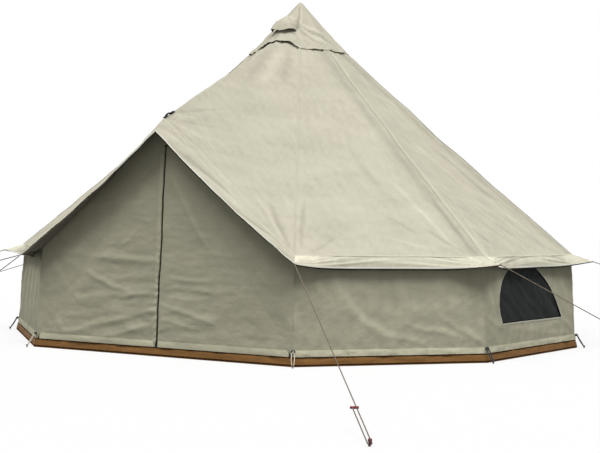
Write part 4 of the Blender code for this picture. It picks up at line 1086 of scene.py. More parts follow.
# Seams of the roof: one down each corner, the welt round the eave, and the binding with a dark strip behind
# it as painted shadow
seams = []
seam_rows = slice(4, EDGE_ROW - 2)
for index in corner_column:
    path = roof_grid[index, seam_rows]
    out = roof_normal[index, seam_rows]
    wide = unit(np.cross(np.gradient(path, axis=0), out))
    seams.append(strip("seam", path, wide, out, roof_seam_canvas, 0.016, 0.0006))
roof_seams = joined("roof_seams", seams)
eave = roof_grid[:, EAVE_ROW]
eave_out = roof_normal[:, EAVE_ROW]
eave_wide = unit(np.cross(np.roll(eave, -1, 0) - np.roll(eave, 1, 0), eave_out))
eave_welt = strip("eave_welt", eave, eave_wide, eave_out, valance_welt, 0.012, 0.0018, closed=True)
edge_path = roof_grid[:, EDGE_ROW]
edge_up = unit(roof_grid[:, EDGE_ROW - 1] - edge_path)
edge_out = roof_normal[:, EDGE_ROW]
valance_binding = strip("valance_binding", edge_path, edge_up, edge_out, binding_tape, 0.011, 0.0030,
                        closed=True, lift=-0.0010)
# A dark strip just behind the binding, along most of the edge, is painted shadow.
back_columns = np.arange(corner_column[9], corner_column[8] + len(edge_path) + 1) % len(edge_path)
back_path = edge_path - edge_up * 0.0095 - edge_out * 0.0035
shade_line = strip("binding_painted_shadow", back_path[back_columns], edge_up[back_columns], edge_out[back_columns],
                   zip_tape, 0.010, TAPE_SKIN)
fit(roof, "roof_canvas", "roof_right", "roof_back", "roof_left", "roof_porch")
for piece in (roof_seams, eave_welt, valance_binding, shade_line):
    fit(piece, "roof_canvas")


# Walls
WALL_BELLY = 0.024
HEM_TOP = 0.112
HEM_FOOT_GAP = 0.0006
WALL_FOOT = TUB_HEIGHT + GAP
WALL_HEAD = roof_height(wall_radius(EAVE_HEIGHT)) - ROOF_DROP - RUNNING_GAP
WALL_HEIGHTS = WALL_FOOT + (WALL_HEAD - WALL_FOOT) * even(55)


# Folds of the panels right of the door, with the window, and left of the door, across from each middle
FRONT_FOLDS = fold_lines(
    (-345, 500, -310, 430, -250, 350, -195, 290, -120, 262, -40, 205, 100, 182, 240, 150, 85, 30),
    (110, 292, 227, 240, 389, 230, 482, 198, 590, 165, 60, 24),
    (350, 350, 460, 278, 570, 210, 690, 145, 55, 22),
    (545, 262, 620, 205, 700, 148, 50, 18),
    (-350, 240, -300, 180, -254, 150, 30, 20),
    (-560, 580, -520, 515, -444, 430, 40, 30),
    (-430, 620, -380, 500, -330, 380, 40, 35),
    (30, 600, 80, 480, 200, 380, 30, 45),
    (330, 610, 400, 500, 530, 400, 30, 40),
)
WINDOW_FOLDS = fold_lines(
    (-700, 330, -560, 262, -420, 226, 45, 24),
    (-300, 215, -50, 195, 250, 200, 500, 240, 50, 28),
    (50, 170, 300, 150, 600, 135, 45, 20),
    (420, 330, 560, 230, 690, 150, 55, 24),
    (560, 560, 620, 400, 660, 250, 50, 26),
    (-640, 600, -600, 450, -620, 300, 45, 28),
)
LEFT_FOLDS = fold_lines(
    (-560, 620, -545, 400, -520, 140, 114, 25),
    (-330, 620, -300, 380, -250, 130, 114, 29),
    (-50, 620, 40, 360, 110, 130, 133, 29),
    (240, 630, 320, 400, 400, 140, 123, 25),
    (450, 630, 540, 400, 610, 140, 114, 22),
)


def wall_relief(points, share, across, folds):
    """Slack of the wall: it bellies in under the eave, hangs in soft folds, and creases low down."""
    height = points[..., 2]
    rise = ramp(height, WALL_FOOT, WALL_HEAD - WALL_FOOT)
    hold = np.sin(math.pi * rise) ** 0.7
    relief = -0.005 * hold * np.sin(math.pi * share) ** 0.5
    relief += 0.0045 * ripples(points, 0.34, 11, (1.0, 1.0, 0.22)) * hold
    relief += 0.0026 * ripples(points, 0.17, 12) * hold
    relief += 0.0010 * ripples(points, 0.07, 14) * hold
    low = bell(height - 0.13, 0.09)
    relief += 0.0018 * ripples(points, 0.06, 13, (1.0, 1.0, 0.5)) * low
    if folds:
        relief += strokes(across, height, folds) * clamp(rise / 0.05)
    return relief


def panel_grid(panel, shares, folds=()):
    """One wall panel with its relief, columns first."""
    height = WALL_HEIGHTS[None, :]
    grid = on_side(panel, shares[:, None], wall_radius(height), height)
    normal = outward(grid)
    across = (shares[:, None] - 0.5) * 2.0 * math.sin(SIDE_HALF) * wall_radius(grid[..., 2])
    share = np.broadcast_to(shares[:, None], grid.shape[:2])
    grid = grid + normal * wall_relief(grid, share, across, folds)[..., None]
    rise = ramp(grid[..., 2], WALL_FOOT, WALL_HEAD - WALL_FOOT)
    belly = WALL_BELLY * np.sin(math.pi * rise ** 2.6)
    hold_start = clamp(shares / 0.10) if panel != 1 else 1.0
    hold_end = ramp(1.0, shares, 0.10) if panel != 0 else 1.0
    belly = belly * ((hold_start * hold_end) ** 0.7)[:, None]
    grid[..., :2] *= 1.0 - (belly / WALL_FOOT_RADIUS)[..., None]
    tone = 0.10 * ripples(grid, 0.16, 66) + 0.10 * ripples(grid, 0.07, 67, (1.0, 1.0, 0.3))
    # The drawn folds paint highlight on their ridges and shade in their valleys.
    if folds:
        tone += strokes(across, grid[..., 2], folds) / 0.014
    # Painted shadow under the eave: darker near the head of the wall, more strongly and further down on the
    # wall left of the door.
    top_shadow, top_shadow_depth = (1.1, 0.100) if panel == 8 else (0.5, 0.035)
    tone -= top_shadow * bell(WALL_HEAD - grid[..., 2], top_shadow_depth)
    if panel == 8:
        streaks = ripples(grid, 0.055, 68, (1.0, 1.0, 0.05))
        tone += (0.25 * streaks - 0.15) * ramp(grid[..., 2], 0.20, 0.3)
    return grid, tone


def wall_band(first, count, folds=()):
    """The wall panels from one corner on. Only a single panel or the one left of the door has drawn folds."""
    parts = []
    tones = []
    for panel in range(first, first + count):
        own = folds if panel == 8 or count == 1 else ()
        part, tone = panel_grid(panel, even(97 if own else 41), own)
        last = panel == first + count - 1
        parts.append(part if last else part[:-1])
        tones.append(tone if last else tone[:-1])
    return np.concatenate(parts), np.concatenate(tones)


def hem_band(grid):
    """The doubled hem along the foot of a wall, a little proud of it."""
    levels = np.linspace(WALL_FOOT + HEM_FOOT_GAP, HEM_TOP, 6)
    normal = outward(grid)
    bulge = 0.0022 + 0.0016 * np.sin(math.pi * even(6))
    band = []
    for column, out in zip(grid, normal):
        spots = [np.interp(levels, column[:, 2], column[:, k]) for k in range(3)]
        ways = [np.interp(levels, column[:, 2], out[:, k]) for k in range(3)]
        band.append(np.stack(spots, axis=1) + np.stack(ways, axis=1) * bulge[:, None])
    band = np.array(band)
    stand = ripple_sum(band, (0.0016, 0.07, 17), (0.0012, 0.035, 18))
    return cloth("hem", band + stand[..., None] * normal[:, :1], wall_hem_canvas, skin=TAPE_SKIN)


wall_grids = {
    "wall_front_right": wall_band(0, 1, FRONT_FOLDS),
    "wall_window": wall_band(1, 1, WINDOW_FOLDS),
    "wall_back_right": wall_band(2, 2),
    "wall_back": wall_band(4, 3),
    "wall_left": wall_band(7, 2, LEFT_FOLDS),
}


def wall_cloth(node):
    grid, tone = wall_grids[node]
    return cloth(node + "_cloth", grid, wall_canvas, tone=tone)


walls = {node: wall_cloth(node) for node in wall_grids if node != "wall_window"}

# Window: an arched opening in the second panel, bound with tape, with netting behind it
WINDOW_HALF_WIDTH = 0.490
WINDOW_HEIGHT = 0.450
WINDOW_SILL = 0.262
WINDOW_LEAN = -0.120
WINDOW_SHIFT = 0.015
window_grid = wall_grids["wall_window"][0]


def window_outline(shrink, steps):
    """The arch and the two ends of the sill, in the window's plane, made smaller all round by shrink."""
    turn = np.linspace(0.0, math.pi, steps + 1)
    high = WINDOW_HEIGHT - shrink
    rise = high * np.sin(turn)
    x = (WINDOW_HALF_WIDTH - shrink) * np.cos(turn) + WINDOW_SHIFT + WINDOW_LEAN * rise / high
    return np.stack([x, np.maximum(rise, shrink)], axis=1)


window_turn = (corner_angle(1) + corner_angle(2)) / 2.0
window_out = WALL_HEAD_RADIUS * math.cos(SIDE_HALF)
window_place = (
    Matrix.Translation(heading(window_turn) * window_out + Vector((0.0, 0.0, WINDOW_SILL)))
    @ Matrix.Rotation(window_turn, 4, "Z")
    @ Matrix.Rotation(math.pi / 2.0, 4, "X")
)


def window_block(name, shrink):
    """A block with the window's outline, to cut cloth with."""
    outline = window_outline(shrink, 30)
    count = len(outline)
    points = [window_place @ Vector((x, y, side)) for side in (-0.2, 0.2) for x, y in outline]
    faces = [(i, (i + 1) % count, count + (i + 1) % count, count + i) for i in range(count)]
    faces.append(tuple(range(count))[::-1])
    faces.append(tuple(range(count, 2 * count)))
    return add_mesh(name, np.array([tuple(p) for p in points]), faces, wall_canvas)


def cut_by(thing, cutter, operation):
    """Cuts a mesh once and for all, and takes its cutter away."""
    step = thing.modifiers.new("cut", "BOOLEAN")
    step.operation = operation
    step.solver = "EXACT"
    step.object = cutter
    bpy.context.view_layer.update()
    graph = bpy.context.evaluated_depsgraph_get()
    mesh = bpy.data.meshes.new_from_object(thing.evaluated_get(graph))
    thing.modifiers.clear()
    thing.data = mesh
    bpy.data.objects.remove(cutter, do_unlink=True)


def tree_from(grid, ring=False):
    """A grid of points as a surface to cast rays at."""
    cols, rows = grid.shape[:2]
    faces = [(i * rows + j, ((i + 1) % cols) * rows + j, ((i + 1) % cols) * rows + j + 1, i * rows + j + 1)
             for i in range(cols if ring else cols - 1) for j in range(rows - 1)]
    return BVHTree.FromPolygons([tuple(p) for p in grid.reshape(-1, 3)], faces)


walls["wall_window"] = wall_cloth("wall_window")
cut_by(walls["wall_window"], window_block("window_cutter", 0.0), "DIFFERENCE")


def netting_grid():
    """The netting bellies in its opening in long soft folds."""
    slant = (even(len(window_grid))[:, None] - 0.5) + (window_grid[..., 2] - 0.45) * 0.9
    folds = 0.0060 * np.sin(slant * 19.0 + 0.8) + 0.0035 * np.sin(slant * 43.0 + 1.1)
    folds += 0.0030 * ripples(window_grid, 0.10, 23)
    return window_grid - outward(window_grid) * (0.0045 + np.abs(folds))[..., None]


net = cloth("window_net", netting_grid(), net_cloth, skin=NET_SKIN)
cut_by(net, window_block("net_cutter", -0.006), "INTERSECT")


def on_wall(points):
    """Points just off the window panel's cloth, from points in the window's plane."""
    tree = tree_from(window_grid)
    ray = array(heading(window_turn))
    hits = [tree.ray_cast(window_place @ Vector((x, y, 0.3)), Vector(-ray)) for x, y in points]
    return np.array([array(hit[0]) + ray * 0.0006 for hit in hits])


def window_edge():
    """The binding tape all round the opening."""
    outline = window_outline(0.0, 72)
    low = np.stack([np.linspace(outline[-1, 0], outline[0, 0], 40)[1:-1], np.zeros(38)], axis=1)
    loop = np.concatenate([outline, low])
    way = unit(np.roll(loop, -1, 0) - np.roll(loop, 1, 0))
    across = np.stack([way[:, 1], -way[:, 0]], axis=1)
    centre = loop + across * 0.004
    path = on_wall(centre)
    wide = unit(on_wall(centre + across * 0.004) - path)
    out = unit(np.cross(np.roll(path, -1, 0) - np.roll(path, 1, 0), wide))
    if (out * array(heading(window_turn))).sum(1).mean() < 0.0:
        out = -out
    return strip("window_binding", path, wide, out, window_tape, 0.015, 0.0020, closed=True)


window_binding = window_edge()
wall_hem = joined("wall_hem", [hem_band(grid) for grid, tone in wall_grids.values()])
for node, flat, area, carried in (
    ("wall_front_right", (1.46, 0.70), None, [wall_hem]),
    ("wall_window", (1.46, 0.70), 0.68, [window_binding]),
    ("wall_back_right", (2.92, 0.70), None, []),
    ("wall_back", (4.38, 0.70), None, []),
    ("wall_left", (2.92, 0.70), None, []),
):
    fit(walls[node], "wall_canvas", node)
    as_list(carried)
fit(net, "insect_mesh", "window_mesh")
for piece in (window_binding, wall_hem):
    fit(piece, "wall_canvas")


# Door side: gussets outside the fold lines, leaves inside them
FOLD_FOOT_X = wall_radius(WALL_FOOT) * math.sin(DOOR_HALF)
LEAF_CUT_X = FOLD_FOOT_X - 0.030
SLIT = 0.0004
PORCH_TREE = BVHTree.FromPolygons(
    [v.co for v in nodes["roof_porch"].data.vertices],
    [tuple(p.vertices) for p in nodes["roof_porch"].data.polygons],
)


def under_porch(x, y):
    return PORCH_TREE.ray_cast(Vector((x, y, 0.1)), Vector(UP))[0].z


def fold_x(height):
    return FOLD_FOOT_X * (ZIP_TOP_HEIGHT - height) / (ZIP_TOP_HEIGHT - WALL_FOOT)


def fold_height(x):
    return ZIP_TOP_HEIGHT - (ZIP_TOP_HEIGHT - WALL_FOOT) * x / FOLD_FOOT_X


# Folds of the whole door, across from the zip and up from the ground
DOOR_FOLDS = fold_lines(
    (-950, 755, -640, 722, -310, 700, -30, 690, 95, 29),
    (-960, 735, -780, 655, -580, 560, -400, 490, -230, 452, 90, 22),
    (-1020, 720, -950, 610, -860, 510, -760, 420, -700, 360, 70, 19),
    (-820, 128, -600, 190, -330, 255, -10, 345, 105, 26),
    (-480, 120, -320, 150, -160, 205, -10, 245, 60, 17),
    (-60, 455, -220, 440, -360, 400, 55, 16),
    (-410, 760, -281, 850, -197, 945, 40, 19),
    (-560, 1105, -406, 1120, -242, 1114, -118, 1130, 40, 16),
    (-300, 1290, -149, 1350, -50, 1430, 35, 22),
    (-960, 300, -900, 200, -840, 110, 50, 22),
    (60, 1320, 178, 1126, 291, 939, 400, 797, 65, 24),
    (30, 575, 200, 560, 447, 552, 60, 16),
    (30, 490, 263, 500, 474, 478, 640, 492, 50, 19),
    (30, 440, 184, 424, 320, 420, 469, 448, 45, 14),
    (30, 372, 206, 336, 361, 292, 500, 252, 80, 19),
    (30, 275, 194, 240, 365, 212, 60, 16),
    (320, 765, 544, 748, 746, 780, 841, 808, 40, 16),
    (620, 620, 780, 600, 900, 640, 30, 19),
    (560, 300, 720, 220, 900, 180, 30, 22),
    (10, 900, 120, 880, 220, 900, 30, 13),
    (-10, 1000, -120, 985, -240, 1010, 35, 13),
    (-10, 860, -100, 850, -220, 880, 30, 12),
)


def door_relief(x, height):
    """Folds of the door cloth, only outward. They fade towards the fold lines, the zip and the edges."""
    points = np.stack([x, np.zeros_like(x), height], axis=-1)
    broad = ripples(points, 0.42, 31, (0.8, 1.0, 1.6))
    drag = ripples(points, 0.16, 32, (0.45, 1.0, 2.2))
    fine = ripples(points, 0.070, 33, (0.7, 1.0, 1.5))
    away = np.abs(x)
    low = ramp(1.15, height, 0.9)
    near_zip = bell(away, 0.28)
    left = clamp(0.5 - x / 0.1)
    relief = 0.004 + 0.0022 * broad + (0.0008 + (0.0008 + 0.0008 * left) * low) * drag
    relief += (0.0006 + 0.0009 * low * near_zip) * fine
    relief = relief + 0.85 * strokes(x, height, DOOR_FOLDS)
    edge = ramp(height, WALL_FOOT, 0.05)
    side = ramp(FOLD_FOOT_X + 0.03, away, 0.12)
    hinge = ramp(np.abs(away - fold_x(height)), 0.004, 0.13)
    middle = clamp(0.25 + away / 0.05)
    return np.maximum(relief, 0.0) * edge * np.minimum(1.0, 0.15 + side) * hinge * middle


def door_tone(x, height):
    """Painted shade in the folds of the door cloth and painted highlight along their ridges, with tone that
    differs at random; the whole door a little darker, more so left of the zip.
    """
    points = np.stack([x, np.zeros_like(x), height], axis=-1)
    fine = ripples(points, 0.055, 34, (0.6, 1.0, 1.8))
    low = np.clip((1.2 - height) / 0.9, 0.2, 1.0)
    tone_shift = 0.12 - 0.04 * np.sign(x)
    drag = 0.12 * low * fine + 0.08 * ripples(points, 0.16, 35)
    return 0.45 * strokes(x, height, DOOR_FOLDS) / 0.011 + drag - tone_shift


def on_door(x, height):
    """Points on the door's outer face. The zip sways a little from side to side."""
    y = -door_face(height) - door_relief(x, height)
    sway = 0.0030 * np.sin(9.0 * height + 0.5) + 0.0012 * np.sin(31.0 * height)
    sway = sway * ramp(height, 0.15, 0.2) * ramp(1.48, height, 0.2)
    return np.stack([x + sway * bell(x, 0.12), y, height], axis=-1)


def leaf_cloth(name, side):
    """From the zip to the fold line. side is 1 to the right of the zip and -1 to the left."""
    levels = np.concatenate([np.linspace(WALL_FOOT, WALL_FOOT + 0.04, 5)[:-1],
                             np.linspace(WALL_FOOT + 0.04, ZIP_TOP_HEIGHT - 0.020, 112)])
    far = np.minimum(LEAF_CUT_X - GAP, fold_x(levels) - SLIT)
    x = side * (0.0005 + (far[None, :] - 0.0005) * even(81)[:, None])
    height = np.broadcast_to(levels, x.shape)
    return cloth(name, on_door(x, height), wall_canvas, tone=door_tone(x, height))


def gusset_cloth(name, side):
    """From the fold line to the porch above it, whose height is found by rays."""
    columns = []
    for step in even(61):
        x = 0.0003 + (LEAF_CUT_X - 0.0003) * step
        top_x = x * (1.0 - 0.02 * step)
        high = EAVE_HEIGHT
        for _ in range(6):
            face = door_face(high)
            high = min(under_porch(top_x, -face), under_porch(top_x, -face + CLOTH)) - 0.0008
        columns.append((x, fold_height(x), top_x, high))
    x = FOLD_FOOT_X - SLIT
    high = WALL_HEAD - 0.0006
    columns.append(((x + LEAF_CUT_X) / 2.0, WALL_FOOT, LEAF_CUT_X * 0.995, columns[-1][3] * 0.5 + high * 0.5))
    columns.append((x, WALL_FOOT, wall_radius(high) * math.sin(DOOR_HALF) - SLIT, high))
    low_x, low, top_x, top = np.array(columns).T[:, :, None]
    rise = even(64)[None, :]
    x = side * (low_x + (top_x - low_x) * rise)
    height = low + (top - low) * rise
    return cloth(name, on_door(x, height), wall_canvas, tone=door_tone(x, height))


leaf_right = leaf_cloth("leaf_right_cloth", 1.0)
leaf_left = leaf_cloth("leaf_left_cloth", -1.0)
gusset_right = gusset_cloth("gusset_right_cloth", 1.0)
gusset_left = gusset_cloth("gusset_left_cloth", -1.0)

TOOTH_PITCH = 0.006
TOOTH_SIZE = np.array([0.0018, 0.0013, 0.0019])
BOX_CORNERS = np.array([[a, b, c] for a in (-1, 1) for b in (-1, 1) for c in (-1, 1)], float)
BOX_FACES = ((0, 1, 3, 2), (4, 6, 7, 5), (0, 4, 5, 1), (2, 3, 7, 6), (0, 2, 6, 4), (1, 5, 7, 3))


def zip_side(name, side):
    """Half of the zip: its tape and its row of teeth, down the free edge of a leaf."""
    levels = np.linspace(WALL_FOOT + 0.004, ZIP_TOP_HEIGHT - 0.022, 150)
    path = on_door(np.full_like(levels, side * 0.0029), levels)
    path[:, 1] -= 0.0004
    tape = strip(name + "_tape", path, RIGHT, FRONT, zip_tape, 0.0050, TAPE_SKIN)
    heights = np.arange(WALL_FOOT + 0.006, ZIP_TOP_HEIGHT - 0.026, TOOTH_PITCH)
    heights = heights + (TOOTH_PITCH / 2.0 if side > 0.0 else 0.0)
    spots = on_door(np.full_like(heights, side * 0.0022), heights)
    points = (spots[:, None] + FRONT * 0.0022 + BOX_CORNERS[None] * TOOTH_SIZE).reshape(-1, 3)
    faces = [tuple(8 * k + v for v in quad) for k in range(len(heights)) for quad in BOX_FACES]
    teeth = add_mesh(name + "_teeth", points, faces, zip_teeth, np.zeros((len(points), 2)), 20.0)
    return joined(name, [tape, teeth])


zip_right = zip_side("zip_right_half", 1.0)
zip_left = zip_side("zip_left_half", -1.0)


def storm_flap():
    """A narrow flap sewn beside the zip, puckered by its stitching."""
    levels = np.linspace(WALL_FOOT + 0.003, ZIP_TOP_HEIGHT - 0.075, 260)
    across = even(9)
    wander = 0.0022 * np.sin(levels * 17.0) + 0.0014 * np.sin(levels * 41.0 + 1.0)
    outer_x = -0.0078 + wander
    inner_x = -0.040 - 0.002 * np.sin(levels * 9.0 + 0.4)
    inner_x = np.maximum(inner_x, np.minimum(0.016 - fold_x(levels), outer_x - 0.004))
    x = inner_x[None, :] + (outer_x - inner_x)[None, :] * across[:, None]
    grid = on_door(x, np.broadcast_to(levels, x.shape))
    low = np.clip((1.25 - levels) / 0.9, 0.15, 1.0)
    pucker = 0.5 + 0.5 * np.sin(levels * TURN / 0.052 + 1.5 * np.sin(levels * 11.0))
    lift = 0.0012 + (0.0028 + 0.0042 * low * pucker)[None, :] * np.sin(math.pi * 0.5 * across[:, None]) ** 1.5
    grid[..., 1] -= lift * np.clip((fold_x(levels) - 0.016) / 0.03, 0.25, 1.0)[None, :]
    # The flap is painted paler all over: painted highlight beside the zip.
    return cloth("storm_flap", grid, wall_canvas, skin=0.0010, tone=np.full(x.shape, 0.25))


flap = storm_flap()


def leaf_hem(name, side):
    """Doubled hem along the foot of a leaf."""
    height = np.broadcast_to(np.linspace(WALL_FOOT + HEM_FOOT_GAP, HEM_TOP, 6), (60, 6))
    x = np.minimum(np.linspace(0.012, LEAF_CUT_X - 0.002, 60)[:, None], fold_x(height) - 0.014)
    grid = on_door(side * x, height)
    grid[..., 1] -= 0.0022 + 0.0010 * np.sin(math.pi * even(6))[None, :]
    return cloth(name, grid, wall_hem_canvas, skin=TAPE_SKIN)


hem_leaf_right = leaf_hem("hem_leaf_right", 1.0)
hem_leaf_left = leaf_hem("hem_leaf_left", -1.0)
for piece, node, body, carried in (
    (leaf_right, "door_leaf_right", "leaf_right", [zip_right, hem_leaf_right]),
    (leaf_left, "door_leaf_left", "leaf_left", [zip_left, flap, hem_leaf_left]),
):
    fit(piece, "wall_canvas", node, body=body)
    for extra in carried:
        fit(extra, "zip_metal" if extra in (zip_right, zip_left) else "wall_canvas", body=body)
    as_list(carried)
for piece, node in ((gusset_right, "door_gusset_right"), (gusset_left, "door_gusset_left")):
    fit(piece, "wall_canvas", node)


# Tub floor
def tub_pieces():
    """The floor and its turned-up rim, from the middle out and up, dented all round; and two dark bands round
    the rim, the upper one a painted shadow under the hem.
    """
    share = np.linspace(0.0, 1.0, 40, endpoint=False)[:, None]
    ways = []
    for index in range(CORNERS):
        start = CORNER_WAYS[index]
        ways.append(start + (CORNER_WAYS[(index + 1) % CORNERS] - start) * share)
    rim = even(9)[1:]
    radii = np.concatenate([[0.02, 0.5, 1.0, 1.5, 2.0, 2.3, 2.44], np.full(2, FLOOR_RADIUS - 0.004),
                            FLOOR_RADIUS + (WALL_FOOT_RADIUS - FLOOR_RADIUS) * rim])
    heights = np.concatenate([np.full(7, 0.0003), [0.0004, 0.004], TUB_HEIGHT * rim])
    grid = np.concatenate(ways)[:, None] * radii[None, :, None]
    out = unit(grid * LEVEL)
    grid[..., 2] = heights
    lift = clamp(heights / 0.02) * ramp(TUB_HEIGHT, heights, 0.015)
    dents = 0.0050 * ripples(grid, 0.19, 41, (1.0, 1.0, 1.5))
    dents += 0.0030 * ripples(grid, 0.09, 42, (1.0, 1.0, 3.0))
    grid = grid + out * (np.minimum(dents, 0.004) * lift[None, :])[..., None]
    made = cloth("tub_cloth", grid, tub_cloth, ring=True, skin=0.0018)
    up = unit(grid[:, -1] - grid[:, 10])
    facing = unit(out[:, -1])
    dark_edges = []
    # Two dark bands: the upper one, just under the rim's top, is painted shadow under the hem; the lower runs
    # round the foot.
    for row, shift, width in ((-1, -0.0035, 0.007), (9, 0.0045, 0.008)):
        path = grid[:, row] + up * shift + facing * 0.0012
        dark_edges.append(strip("tub_dark_edges", path, up, facing, tub_edge_dark, width, 0.0014, closed=True))
    return made, joined("tub_dark_edges", dark_edges)


tub, tub_dark_edges = tub_pieces()
fit(tub, "floor_cloth", "groundsheet_tub")
fit(tub_dark_edges, "floor_cloth")


# Crown cap
def cap_grid():
    """The cap from its top down, its skirt lifted over the ridge of the porch and drawn up beside it."""
    skirt = roof_height(CAP_RADIUS) + ROOF_DROP + 2.0 * GAP
    door_skirt = float(ridge_height(np.array(CAP_RADIUS))) + ROOF_DROP + 2.0 * GAP + CAP_PORCH_LIFT
    spots = [(corner_angle(i), skirt) for i in range(CORNERS)]
    spots += [(TURN, door_skirt), (corner_angle(0) + TURN, skirt)]
    down = even(27)
    columns = []
    for (a, foot_a), (b, foot_b) in zip(spots, spots[1:]):
        steps = 17 if b < TURN - 0.01 else 12
        start = array(heading(a))
        end = array(heading(b))
        for share in np.linspace(0.0, 1.0, steps, endpoint=False):
            way = start + (end - start) * share
            near = share if foot_b > foot_a else 1.0 - share
            foot = min(foot_a, foot_b) + abs(foot_b - foot_a) * (1.0 - (1.0 - near) ** CAP_CREST)
            aside = abs(math.degrees(math.atan2(way[0], -way[1])))
            reach = down * (1.0 - CAP_DRAWN * math.exp(-((aside - 15.0) / 9.0) ** 2))
            radius = CAP_TOP_RADIUS + (CAP_RADIUS - CAP_TOP_RADIUS) * reach
            column = way[None, :] * radius[:, None]
            column[:, 2] = CAP_TOP_HEIGHT + (foot - CAP_TOP_HEIGHT) * reach
            columns.append(column)
    return np.array(columns), down


cap_points, cap_down = cap_grid()
cap_normal = outward(cap_points, True)
cap_around = np.arctan2(cap_points[..., 0], -cap_points[..., 1])
TOGGLE_TURNS = np.radians([-19.0, -4.0, 6.0, 24.0, 52.0, 71.0, 82.0, 94.0] + list(range(112, 330, 18)))


def turn_gap(turns, other):
    """Angle from one compass turn to another, between minus and plus half a turn."""
    return np.angle(np.exp(1j * (turns - other)))


cap_pull = np.abs(turn_gap(cap_around[:, -1][:, None], TOGGLE_TURNS[None, :])).min(1)
cap_loose = 1.0 - bell(cap_pull, math.radians(4.0))
cap_low = bell(cap_down - 1.0, 0.10)
cap_fold = 0.0030 * cap_down * np.cos(9.0 * cap_around + 3.0 * cap_down + 0.6)
cap_fold += 0.0035 * cap_down ** 2 * ripples(cap_points, 0.16, 51)
cap_fold += 0.0016 * cap_down * ripples(cap_points, 0.06, 52)
cap_fold += (0.0020 + 0.0060 * cap_loose[:, None]) * cap_low


def on_cap(degrees, down):
    """A spot on the cap laid flat, with the side nearest the camera straight below its top."""
    turn = 0.78 * turn_gap(np.radians(degrees), CAMERA_TURN)
    return 0.58 * down * np.sin(turn), -0.58 * down * np.cos(turn)


# Creases of the cap: four spots in degrees of turn and share of the way down, the rise and the half width
CAP_CREASES = (
    ((22.6, 0.52), (45.0, 0.62), (62.0, 0.71), (80.0, 0.84), -0.0085, 0.011),
    ((24.0, 0.47), (46.0, 0.56), (66.0, 0.65), (84.0, 0.74), 0.0070, 0.012),
    ((22.0, 0.56), (36.0, 0.70), (48.0, 0.82), (60.0, 0.93), -0.0075, 0.011),
    ((26.0, 0.54), (42.0, 0.70), (58.0, 0.82), (72.0, 0.92), 0.0065, 0.012),
    ((20.0, 0.60), (24.0, 0.72), (30.0, 0.84), (36.0, 0.94), 0.0050, 0.011),
    ((2.0, 0.66), (12.0, 0.74), (24.0, 0.80), (40.0, 0.90), -0.0050, 0.012),
    ((24.0, 0.06), (24.0, 0.20), (24.0, 0.34), (23.0, 0.46), -0.0060, 0.008),
    ((34.0, 0.08), (34.0, 0.20), (32.0, 0.34), (29.0, 0.48), 0.0050, 0.010),
    ((-24.0, 0.70), (-16.0, 0.80), (-8.0, 0.88), (2.0, 0.94), -0.0045, 0.012),
)
cap_lines = [([on_cap(*spot) for spot in crease[:4]], crease[4], crease[5]) for crease in CAP_CREASES]
cap_creases = strokes(*on_cap(np.degrees(cap_around), cap_down), cap_lines)
cap_fold += cap_creases
# Painted shade in the valleys of the creases and painted highlight on their ridges, with tone that differs at
# random.
cap_tone = cap_creases / 0.0075 + 0.12 * ripples(cap_points, 0.12, 64)
cap_points = cap_points + cap_normal * cap_fold[..., None]
cap = cloth("crown_cap_cloth", cap_points, roof_canvas, ring=True, tone=cap_tone)
vent_lean = math.atan2(CAP_TOP_HEIGHT - float(ridge_height(np.array(CAP_RADIUS))), CAP_RADIUS)
vent_height = CAP_TOP_HEIGHT - CAP_VENT_OUT * math.tan(vent_lean)
vent_place = Matrix.Translation((0.0, -CAP_VENT_OUT, vent_height)) @ Matrix.Rotation(vent_lean, 4, "X")
vent_work = bmesh.new()
bmesh.ops.create_cone(vent_work, cap_ends=True, segments=40, radius1=VENT_RADIUS, radius2=VENT_RADIUS,
                      depth=0.10, matrix=vent_place)
cut_by(cap, placed("vent_cutter", mesh_from(vent_work, "vent_cutter")), "DIFFERENCE")
CAP_TREE = tree_from(cap_points, True)


def cap_height(x, y):
    return CAP_TREE.ray_cast(Vector((x, y, 4.0)), Vector(-UP))[0].z


cap_edge = cap_points[:, -1]
cap_edge_up = unit(cap_points[:, -2] - cap_edge)
cap_edge_out = outward(cap_points, True)[:, -1]
cap_hem = strip("cap_hem", cap_edge + cap_edge_up * 0.010, cap_edge_up, cap_edge_out, roof_seam_canvas,
                0.022, TAPE_SKIN, closed=True)


def vent_net():
    """The netting hangs just under the cap's hole, a little lower in the middle."""
    rings = []
    for radius in (0.0005, 0.012, 0.024, 0.036, 0.0485):
        ring = []
        for turn in around(40):
            place = vent_place @ Vector((radius * math.cos(turn), radius * math.sin(turn), 0.0))
            sag = 0.0022 + 0.002 * (1.0 - radius / VENT_RADIUS)
            ring.append((place.x, place.y, cap_height(place.x, place.y) - sag))
        rings.append(ring)
    return np.transpose(np.array(rings), (1, 0, 2))


vent_net_piece = cloth("vent_net", vent_net(), net_cloth, ring=True, skin=NET_SKIN)


